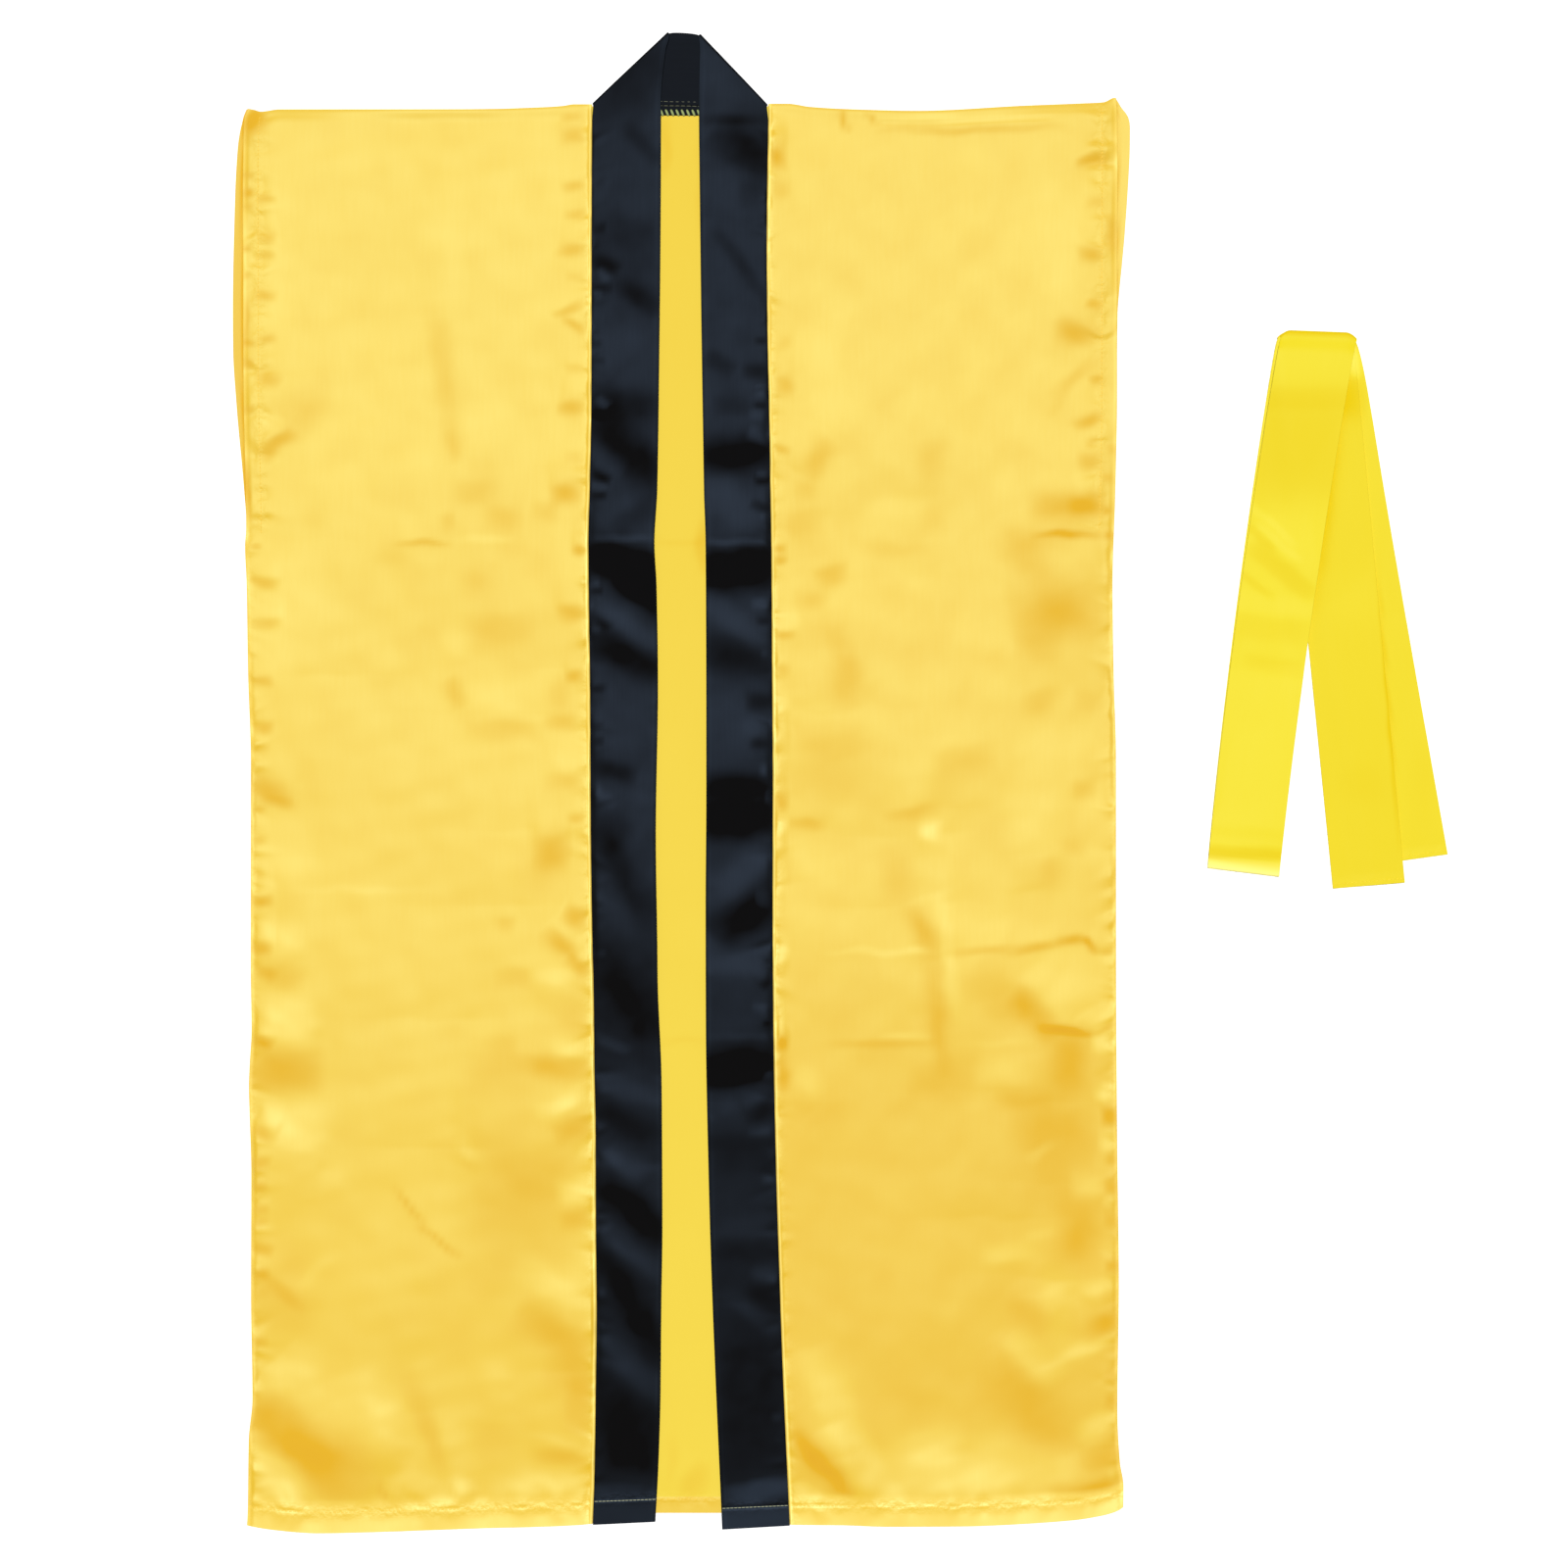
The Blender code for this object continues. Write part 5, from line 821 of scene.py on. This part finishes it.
leftBandMarks = (
    # places as in rightMarks, from the neck down
    (24, 517, -45, 54, 10, -0.2), (38, 488, 0, 60, 4, 0.5), (46, 466, -32, 62, 15, .85),
    (32, 440, 90, 40, 14, -0.15), (46.7, 437, 0, 20, 10, 0.35), (43, 383, -54, 84, 5, .4),
    (55.4, 333, 0, 12, 3, 0.6), (26, 316, -30, 26, 7, 0.5), (52, 311, 0, 24, 6, 0.6),
    (56, 297, -30, 12, 4, -0.7), (54.5, 287, 0, 12, 3, 0.6), (52, 280, 0, 12, 4, -0.5),
    (35, 287, 0, 30, 8, 0.4), (53.7, 265.5, -20, 18, 5, -0.9), (38, 252, 8, 76, 15, 1.1),
    (30, 222, -40, 65, 13, -0.5), (57, 234, 0, 14, 4, 0.8), (55.4, 238, 0, 8, 3, -0.6),
    (55.4, 215.7, -20, 20, 4, 0.8), (58, 209.6, 0, 8, 3, -0.5), (39, 190.4, 0, 58, 2.5, -0.8),
    (38, 172, 8, 84, 18, 1.3), (38, 134, -38, 71, 9, -0.6), (53.7, 146.7, 0, 14, 4, -0.8),
    (57, 136, 0, 12, 3, 0.6), (38, 110, -12, 69, 14, .8), (59, 112, 0, 8, 3, -0.8),
    (36, 70, -20, 65, 20, -0.25), (55, 78.6, 0, 24, 7, 0.8), (56, 49, 0, 20, 5, 0.7),
    (48, 61, 0, 14, 6, -0.3), (38, 22, 0, 65, 9, 0.8), (59, 31.4, 0, 10, 4, -0.9),
    (38, -2, 0, 76, 20, 1.15), (60.7, 12, 0, 8, 4, -0.7), (38, -44, 42, 78, 11, -0.75),
    (49, -70, 30, 68, 15, 1.1), (56, -59.6, 0, 12, 6, -0.8), (36, -104, 0, 69, 12, -0.7),
    (59.8, -104, 0, 8, 3, 0.9), (59, -119, 40, 12, 4, 0.9), (55.4, -134.8, 0, 14, 5, -0.6),
    (59.8, -147, 0, 8, 3, 0.9), (38, -157, 0, 60, 3, -0.4), (38, -180, 6, 76, 19, 1.3),
    (60.7, -183.7, 0, 8, 3, -0.7), (38, -201, 15, 69, 9, -0.65), (55, -210, 25, 26, 7, 0.8),
    (55, -222, 0, 20, 5, -0.7), (38, -233, 0, 65, 8, 0.6), (44, -247, 0, 54, 8, 0.4),
    (60.7, -257, 0, 10, 4, -0.6), (44, -290, 5, 56, 9, -0.35), (46, -309, 0, 54, 9, 0.35),
    (59, -323.7, 0, 26, 6, -0.8), (57, -339, -30, 34, 9, .5), (48, -351, -40, 56, 6, -0.55),
    (48, -410, 90, 130, 30, 0.5), (56, -476, 10, 64, 10, -1.3), (66, -425, 0, 8, 3, -0.4),
    (68.5, -439, 0, 8, 3, -0.4),
)


def legRows(half, axisFoot, axisPeak):
    # levels of one leg's two edges: straight rows from the hem, then turning to the fold's diagonal
    start, low = bandCloth["turnStartY"], coat["hemY"]
    levels = steps(low, .6, low + 2.4, 1.6, low + 12, .8, low + 16.8, 2.1, start)
    turning = np.linspace(0, 1, bandCloth["turnRows"] + 1)[1:]
    nearHem = np.clip(1 - (levels - low) / coat["edgeBlend"], 0, 1)
    edges = []
    for key, end in (("outer", axisFoot), ("inner", axisPeak)):
        y = np.concatenate((levels + (half["bandEnd"][key][1] - low) * nearHem,
                            start + (end[1] - start) * turning))
        x = half["sign"] * curve(half["band"], "y", key, y)
        close = ease((y - end[1] + 12) / 12)
        edges.append((x + (end[0] - x) * close, y))
    fromHem = np.concatenate((levels - low - half["bandHem"], np.full(len(turning), bandCloth["farFromHem"])))
    return edges, fromHem


def mitreAxis(half, foot, peak):
    # the line about which the band turns: set back from the visible fold by radius + wall / 2
    run = towards(foot, peak)
    outward = np.array((-run[1], run[0])) * -half["sign"]
    halfWall = bandCloth["wall"] / 2
    return (outward, np.array(foot) - outward * (bandCloth["footRadius"] + halfWall),
            np.array(peak) - outward * (bandCloth["peakRadius"] + halfWall))


def bandLeg(half, marks, across, radius, foot, peak):
    # middle points and tone of one leg, its height ramped up over the neck's layers and rippled by its folds
    own, sign = bandCloth, half["sign"]
    edges, fromHem = legRows(half, foot, peak)
    (outerX, outerY), (innerX, innerY) = edges
    x = outerX[:, None] + (innerX - outerX)[:, None] * across
    y = outerY[:, None] + (innerY - outerY)[:, None] * across
    start, stop = own["rampY"]
    neckTop = own["neckLevel"] + 2 * radius
    z = own["level"] + (neckTop - own["level"])[None, :] * ease((y - start) / (stop - start))
    fromSeam = across[None, :] * own["width"] + 0 * y
    fromFold = own["width"] - fromSeam
    nearFold = ease((np.linspace(len(x), 0, len(x)) - 2)[:, None] / 24)
    folds, tone = foldsAt(marks, x, y, 61 + sign, wander=own["foldWander"], lift=own["foldLift"],
                          edge=own["foldEdge"], fading=own["foldFading"])
    folds = folds * ease((fromHem[:, None] - 2) / 30) * nearFold * (0.5 + 0.5 * ease(fromSeam / 5))
    folds += waves(x, y, 21 + sign, *own["waveLength"]) * own["waveHeight"] * nearFold
    folds += waves(x, y, 31 + sign, *own["crumpleLength"], own["crumpleWaves"]) * own["crumple"] * nearFold
    folds += seamPuckers(41 + sign, y, fromSeam, **own["seamPuckers"]) * nearFold
    folds += seamPuckers(51 + sign, y, fromFold, **own["foldPuckers"]) * nearFold
    seamFall = own["seamFall"] * bell(fromSeam, own["seamFallWidth"])
    foldFall = own["foldFall"] * np.clip(1 - fromFold / own["foldFallWidth"], 0, 1) ** 2
    z = z + folds - (seamFall + foldFall) * nearFold
    # painted shade: the marks' tone, a base tone, and bandLowTone darker towards the hem
    start, stop = own["lowToneY"]
    tone = tone * own["toneStrength"] + own["tone"] + half["bandLowTone"] * ease((start - y) / (start - stop))
    tone += waves(x, y, 71 + sign, *own["mottleLength"], own["mottleWaves"]) * own["mottling"]
    tone = np.where(fromHem[:, None] < 0, half["bandHemTone"], tone)
    return np.stack((x, y, z), axis=-1), fromHem, tone


def makeCollar():
    # one long strip: up the right front, folded under on the diagonal, across the neck, down the left front
    own, width = bandCloth, bandCloth["width"]
    across = steps(0, .5, 2, 1, 4, 2.3, width - 4, 1, width - 2, .5, width) / width
    radius = own["footRadius"] + (own["peakRadius"] - own["footRadius"]) * across ** own["radiusPower"]
    rightOut, *rightLine = mitreAxis(rightHalf, rightHalf["mitreFoot"], rightHalf["mitrePeak"])
    leftOut, *leftLine = mitreAxis(leftHalf, leftHalf["mitreFoot"], leftHalf["mitrePeak"])
    rightLeg, rightFromHem, rightTone = bandLeg(rightHalf, rightBandMarks, across, radius, *rightLine)
    leftLeg, leftFromHem, leftTone = bandLeg(leftHalf, leftBandMarks, across, radius, *leftLine)
    share = np.linspace(0, 1, own["neckRows"])[:, None, None]
    startRow = rightLine[0] + (rightLine[1] - rightLine[0]) * across[:, None]
    endRow = leftLine[0] + (leftLine[1] - leftLine[0]) * across[:, None]
    neckXY = startRow + (endRow - startRow) * share
    fromEnds = np.sin(math.pi * share[..., 0])
    neckXY[..., 1] += own["neckBow"] * fromEnds ** 0.3 * across ** 4
    ripple = np.abs(waves(*np.moveaxis(neckXY, -1, 0), 61, *own["neckWaveLength"]))
    neckZ = own["neckLevel"] + own["neckWaveHeight"] * ripple * fromEnds ** .5
    neck = np.concatenate((neckXY, neckZ[..., None]), axis=-1)
    centre, rows = own["neckLevel"] + radius, own["rollRows"]
    middle = np.concatenate((
        rightLeg, halfTurn(rightLine, rightOut, radius, centre, across, True, rows), neck,
        halfTurn(leftLine, leftOut, radius, centre, across, False, rows), leftLeg[::-1]))
    outward = normalsOf(middle)
    neckStart = len(rightLeg) + rows
    leftStart = neckStart + len(neck) + rows
    between = np.full(2 * rows + len(neck), own["farFromHem"])
    fromHem = np.concatenate((rightFromHem, between, leftFromHem[::-1]))[:, None]
    half = own["wall"] / 2
    hem = own["hemRise"] * (1 - ease((fromHem + 1.4) / 1.2))
    groove = own["hemGroove"] * bell(fromHem, 1)
    upper = middle + outward * (half + hem - groove)[..., None]
    lower = middle - outward * half
    run = lengthAlong(middle[:, 10])
    flat = np.stack(np.broadcast_arrays(across[None, :] * width, run[:, None]), axis=-1)
    pull = np.broadcast_to(bell(fromHem, 4), middle.shape[:2])
    # painted shade: rollTone on the turns and neckTone on the strip across the neck
    tone = np.full(middle.shape[:2], own["rollTone"])
    tone[:len(rightLeg)] = rightTone
    tone[neckStart:neckStart + len(neck)] = own["neckTone"]
    tone[leftStart:] = leftTone[::-1]
    # painted highlights: a line along the fold, and paleGlow on light places low on the band
    low = ease((own["paleFrom"] - middle[..., 1]) / own["paleFade"])
    glow = own["foldGlow"] * bell(across - own["foldGlowPlace"], own["foldGlowWidth"])
    glow = glow + own["paleGlow"] * np.clip(-tone, 0, 1) * low
    piece = wallMesh("collar_cloth", upper, lower, flat, blackSatin, glow=glow, shade=tone, pull=pull)
    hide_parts("collar_band")
    threads = []
    for side, legs in (("right", np.arange(len(rightLeg))), ("left", np.arange(leftStart, len(middle)))):
        row = legs[np.argmin(np.abs(fromHem[legs, 0]))]
        threads.append(stitchRow("collar_hem_stitches_" + side, upper[row, 1:-1], sagThread, "golden_satin",
                                 pitch=2.7, stitch=2.6, radius=.16))
    return piece, threads, run[-1]


# neck: the overlocked seam allowance and the two rows of stitches above it
neckSeam = dict(
    allowanceDepth=5.9, wall=0.45, level=0.98, shade=0.8, rowEnds=(-58, 54), rowCentre=-15, rowSpan=27,
    firstRow=(501.3, 500.3), secondRow=(498.2, 497.3), stripTop=1.12, rowStep=0.2,
    topstitch=dict(pitch=3.9, stitch=3.4, radius=.19, lift=.12),
    overlock=dict(pitch=3.65, stitch=5.4, radius=.95, lift=.05, slant=math.radians(-66)), overlockDrop=4.1,
)


def makeNeck():
    # a narrow strip below the neck seam, slanted overlock stitches over it, and two rows of stitches above
    own = neckSeam
    x, depth = np.meshgrid(steps(-60, 1.5, 56), steps(own["allowanceDepth"], 1.2, -1.0))
    y = curve(coat["neckSeam"], "x", "y", x) - depth
    z = own["level"] + 0.1 * np.sin(x / 4.3) * np.cos(x / 11)
    half = own["wall"] / 2
    upper, lower = np.stack((x, y, z + half), axis=-1), np.stack((x, y, z - half), axis=-1)
    zeros = np.zeros_like(x)
    # the allowance is made darker all over, with less sheen
    piece = wallMesh("neck_allowance_cloth", upper, lower, np.stack((x, y), axis=-1), blackSatin,
                     glow=zeros, shade=zeros + own["shade"], pull=zeros + 1)
    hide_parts("neck_seam_allowance")
    threads = []
    places = np.linspace(*own["rowEnds"], 60)
    for number, (first, last) in enumerate((own["firstRow"], own["secondRow"])):
        rowY = first + (last - first) * (places - own["rowCentre"]) / own["rowSpan"]
        rowY = rowY + 0.2 * np.sin(places / 7 + number)
        top = np.full_like(places, own["stripTop"] + own["rowStep"] * number)
        path = np.stack((places, rowY, top), axis=-1)
        threads.append(stitchRow(f"neck_topstitches_{number + 1}", path, dullThread, "golden_satin",
                                 **own["topstitch"]))
    seam = curve(coat["neckSeam"], "x", "y", places)
    top = np.full_like(places, own["level"] + half + .05)
    path = np.stack((places, seam - own["overlockDrop"], top), axis=-1)
    threads.append(stitchRow("neck_overlock_stitches", path, overlockThread, "golden_satin",
                             **own["overlock"]))
    return piece, threads


# the belt's turn lines and ends, each from its left point to its right one
# rollTone is painted shade on the two upper turns, foldGlow a painted highlight across the lower fold, and
# rightTone and middleTone darken the legs under the top one
beltCloth = dict(
    wall=0.8, width=50.5, pitch=1.25, lowerRadius=1.0, rollRows=10, puffLength=26.0, innerShift=2.0,
    drapeLength=20.0, drapeClearance=1.0, hemDepth=2.8, hemRise=.3,
    rightEnd=((487.1, -35.9), (538.2, -28.8)), topFold=((420.4, 340.2), (473.6, 338.2)),
    lowerFold=((369.2, -38.5), (419.3, -44.7)), middleEnd=((457.5, -52.9), (507.8, -48.6)),
    leftBow=-3.4, rightBow=1.5, rightSkew=6.0, bowPower=0.75, cornerPull=4.0, cornerReach=7.0, cornerFade=9.0,
    waveLength=(50, 160), rightWave=0.35, legWave=0.3, topLift=0.13, topHighest=1.6, topEdge=4, topFading=5,
    underLift=0.04, rightTone=0.25, middleTone=0.42, rollTone=1.2, lowerRollTone=-2.5,
    foldGlow=0.9, foldGlowRow=5, foldGlowLength=5.5,
)
# places as in rightMarks; the first table is for the leg on top, the second for the two legs under it
# the second table holds painted shadows: the top leg's edge on the middle leg, and a line by the middle leg's
# right edge
beltTopMarks = (
    (447, 337, -2, 70, 2, .9), (416, 259, 0, 140, 42, .6), (424, 292, 0, 120, 8, .25),
    (404, 214, -40, 40, 3, -.25), (413, 204, -42, 52, 3, -.45), (404, 196, -40, 36, 3, .4),
    (419, 190, -40, 44, 3, -.5), (421, 171, -40, 62, 7, .5), (404, 160, -36, 34, 3, .4),
    (414, 147, -8, 80, 8, -.25), (412, 130, -6, 60, 9, .25), (417, 103, -10, 50, 7, .25),
    (400, 36, 90, 134, 40, -.3), (395, -14, -3, 90, 4, .25), (395, -28, -3, 90, 5, .75),
    (393, -38, -3, 90, 4, -2.2),
)
beltUnderMarks = (
    (453, 222, 83, 180, 6, .8), (468, 292, 0, 30, 15, .7), (471, 322, -78, 34, 4, -3.6),
    (476, 330, -60, 12, 3, 1.5), (496, 78, 94.4, 220, 1.9, .8), (480, 20, 0, 40, 14, .15),
    (470, 150, 0, 50, 20, -.12), (520, 20, 90, 90, 9, .12),
)


def cornersBack(across):
    # how far the rounded corners of the top folds lie back from their straight line
    fromEdge = np.minimum(across, 1 - across) * beltCloth["width"]
    return beltCloth["cornerPull"] * np.clip(1 - fromEdge / beltCloth["cornerReach"], 0, 1) ** 2


def legPoints(start, end, across, bow, topAtStart=False, topAtEnd=False, spacing=3.0, skew=1.0):
    # plan points of one leg, in rows from one turn line to the next, its sides bowed by sin(pi * run^skew)
    (startLeft, startRight), (endLeft, endRight) = np.array(start), np.array(end)
    length, fade = np.linalg.norm(endLeft - startLeft), beltCloth["cornerFade"]
    run = np.linspace(0, 1, round(length / spacing) + 1)[:, None]
    left, right = startLeft + (endLeft - startLeft) * run, startRight + (endRight - startRight) * run
    points = left[:, None] + (right - left)[:, None] * across[None, :, None]
    x = points[..., 0] + bow * np.sin(math.pi * run**skew) ** beltCloth["bowPower"]
    near = topAtStart * np.exp(-run * length / fade) + topAtEnd * np.exp(-(1 - run) * length / fade)
    return x, points[..., 1] - cornersBack(across) * near, run * length


def squareTo(line):
    # the direction square to a turn line, on the side of the neck
    run = towards(*line)
    return np.array((-run[1], run[0]))


def movedLine(line, along, outward):
    # a turn line moved along itself and square to itself
    return np.array(line) + towards(*line) * along + squareTo(line) * outward


def drapeStep(foot, head, x, y):
    # soft step up onto the cloth that lies right of the line from foot to head
    run = towards(foot, head)
    inside = (x - foot[0]) * run[1] - (y - foot[1]) * run[0]
    return ease((inside + beltCloth["drapeLength"] + beltCloth["drapeClearance"]) / beltCloth["drapeLength"])


def makeBelt():
    # right leg on the floor, over the top fold, down the left leg, back up under it and down the middle
    own, width, half, pitch = beltCloth, beltCloth["width"], beltCloth["wall"] / 2, beltCloth["pitch"]
    edge = width - 0.1
    across = steps(0, .6, 2.4, 1.5, 8.4, 3.2, 42, 1.5, 48, .6, edge) / edge
    back, rows = cornersBack(across), own["rollRows"]
    axis = movedLine(own["topFold"], 0, -(1.5 * pitch + half))
    innerAxis = movedLine(axis, -own["innerShift"], 0)
    lowerAxis = movedLine(own["lowerFold"], 0, own["lowerRadius"] + half)
    rightEdge = (own["rightEnd"][0], axis[0])
    middleEdge = (own["middleEnd"][0], innerAxis[0])
    stack = half + 1.5 * pitch
    slow = lambda x, y, seed, height: height * np.abs(waves(x, y, seed, *own["waveLength"]))

    x, y, run = legPoints(own["rightEnd"], axis, across, own["rightBow"], topAtEnd=True,
                          skew=own["rightSkew"])
    ripple = slow(x, y, 71, own["rightWave"]) * ease(run / 20) * ease((run[-1] - run) / 20)
    rightLeg = np.stack((x, y, half + ripple), axis=-1)
    rightTone = own["rightTone"] + foldsAt(beltUnderMarks, x, y, 81, wander=.6)[1]

    x, y, run = legPoints(axis, lowerAxis, across, own["leftBow"], topAtStart=True)
    under = half + pitch * (drapeStep(*rightEdge, x, y) + drapeStep(*middleEdge, x, y))
    puff = ease((run - run[-1] + own["puffLength"]) / own["puffLength"])
    folds, topTone = foldsAt(beltTopMarks, x, y, 82, wander=.8, lift=own["topLift"],
                             highest=own["topHighest"], edge=own["topEdge"], fading=own["topFading"])
    folds = (folds + slow(x, y, 72, own["legWave"])) * ease(run / 14) * ease((run[-1] - run) / 10)
    leftTop = np.stack((x, y, under + pitch + (2 * own["lowerRadius"] - pitch) * puff + folds), axis=-1)

    x, y, run = legPoints(lowerAxis, innerAxis, across, own["leftBow"], topAtEnd=True)
    under = half + pitch * (drapeStep(*rightEdge, x, y) + drapeStep(*middleEdge, x, y))
    leftUnder = np.stack((x, y, under), axis=-1)

    x, y, run = legPoints(innerAxis, own["middleEnd"], across, 0, topAtStart=True)
    folds, middleTone = foldsAt(beltUnderMarks, x, y, 83, wander=.6, lift=own["underLift"])
    folds = (folds + slow(x, y, 73, own["legWave"])) * ease((run - 60) / 60) * ease((run[-1] - run) / 12)
    middleLeg = np.stack((x, y, half + pitch * drapeStep(*rightEdge, x, y) + folds), axis=-1)

    parts = [rightLeg,
             halfTurn(axis, squareTo(axis), 1.5 * pitch, stack, across, False, rows, back), leftTop,
             halfTurn(lowerAxis, -squareTo(lowerAxis), own["lowerRadius"], half + own["lowerRadius"], across,
                      True, rows), leftUnder,
             halfTurn(innerAxis, squareTo(innerAxis), .5 * pitch, stack, across, True, rows, back), middleLeg]
    middle = np.concatenate(parts)
    outward = normalsOf(middle)
    run = lengthAlong(middle[:, 8])
    fromEnd = np.minimum(run, run[-1] - run)[:, None]
    hem = own["hemRise"] * (1 - ease((fromEnd - own["hemDepth"]) / .8))
    middle = middle + hem[..., None] / 2 * (0, 0, 1)
    upper = middle + outward * (half + hem[..., None] / 2)
    lower = middle - outward * (half + hem[..., None] / 2)
    flat = np.stack(np.broadcast_arrays(across[None, :] * width, run[:, None]), axis=-1)
    size = middle.shape[:2]
    # painted shade on the turns and on the legs under the top one, with the marks' painted shadows
    tones = (rightTone, own["rollTone"], topTone, own["lowerRollTone"], 0, own["rollTone"],
             middleTone + own["middleTone"])
    tone = np.concatenate([np.broadcast_to(shade, part.shape[:2]) for part, shade in zip(parts, tones)])
    # painted highlight across the lower fold
    foldRow = len(rightLeg) + rows + len(leftTop) + own["foldGlowRow"]
    glow = own["foldGlow"] * bell(run - run[foldRow], own["foldGlowLength"])
    piece = wallMesh("belt_cloth", upper, lower, flat, lemonSatin, glow=np.broadcast_to(glow[:, None], size),
                     shade=tone, pull=np.broadcast_to(bell(fromEnd, 6), size))
    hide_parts("belt")
    threads = []
    for label, row in (("right", 1), ("middle", -2)):
        surface = upper if upper[row, :, 2].mean() > lower[row, :, 2].mean() else lower
        path = surface[row, 1:-1]
        threads.append(stitchRow("belt_end_stitches_" + label, path, lemonThread, "lemon_satin"))
    return piece, threads, run[-1]


back, backThreads = makeBack()
print("back panel made")
rightFront, rightThreads = makeFront("right_front_cloth", "right_front", rightHalf, rightMarks, 101)
leftFront, leftThreads = makeFront("left_front_cloth", "left_front", leftHalf, leftMarks, 202)
print("fronts made")
collar, collarThreads, collarLength = makeCollar()
allowance, neckThreads = makeNeck()
print("collar band made, strip length", round(collarLength, 1), "mm")
belt, beltThreads, beltLength = makeBelt()
print("belt made, strip length", round(beltLength, 1), "mm")

studio = dict(
    photoScale=0.69, imageCentre=(71.07, 20.7), lens=85.0, sensor=36.0, imageSize=1600,
    keyTilt=8.0, keyTurn=6.0, keyAngle=12.0, keyStrength=3.75, ambient=0.12, floorSize=60.0, floorGap=0.05,
)


def makeFloor():
    # plain pale studio floor, just under the cloth
    half, low = studio["floorSize"] / 2, -studio["floorGap"] * mm
    mesh = bpy.data.meshes.new("floor")
    corners = [(-half, -half, low), (half, -half, low), (half, half, low), (-half, half, low)]
    mesh.from_pydata(corners, [], [(0, 1, 2, 3)])
    floor = addObject("floor", mesh)
    material, tree, shader = newMaterial("matt white studio paper")
    place = addNode(tree, "ShaderNodeTexCoord").outputs["Object"]
    grain = addNode(tree, "ShaderNodeTexNoise", {"Vector": place, "Scale": 40.0, "Detail": 2.0})
    tone = addMix(tree, grain.outputs[0], hexColour("#FAFAFA"), hexColour("#FDFDFD"))
    tree.links.new(tone, shader.inputs["Base Color"])
    shader.inputs["Roughness"].default_value = 0.95
    shader.inputs["Specular IOR Level"].default_value = 0.1
    mesh.materials.append(material)


def makeLights():
    # one wide soft key from beyond the neck, and an even dim room
    key = bpy.data.lights.new("key", "SUN")
    key.energy = studio["keyStrength"]
    key.angle = math.radians(studio["keyAngle"])
    lamp = addObject("key", key)
    lamp.rotation_euler = (math.radians(-studio["keyTilt"]), 0, math.radians(studio["keyTurn"]))
    world = bpy.data.worlds.new("room")
    world.use_nodes = True
    world.node_tree.nodes["Background"].inputs["Color"].default_value = (1, 1, 1, 1)
    world.node_tree.nodes["Background"].inputs["Strength"].default_value = studio["ambient"]
    bpy.context.scene.world = world
    bpy.context.scene.view_settings.view_transform = "Standard"


def makeCamera():
    # straight above the photo's middle, as high as makes the image as wide as the photo's scale says
    lens = bpy.data.cameras.new("camera")
    lens.lens = studio["lens"]
    lens.sensor_width = studio["sensor"]
    frameWidth = studio["imageSize"] * studio["photoScale"] * mm
    camera = addObject("camera", lens)
    camera.location = (studio["imageCentre"][0] * mm, studio["imageCentre"][1] * mm,
                       frameWidth * studio["lens"] / studio["sensor"])
    bpy.context.scene.camera = camera


makeFloor()
makeLights()
makeCamera()
print("studio made")
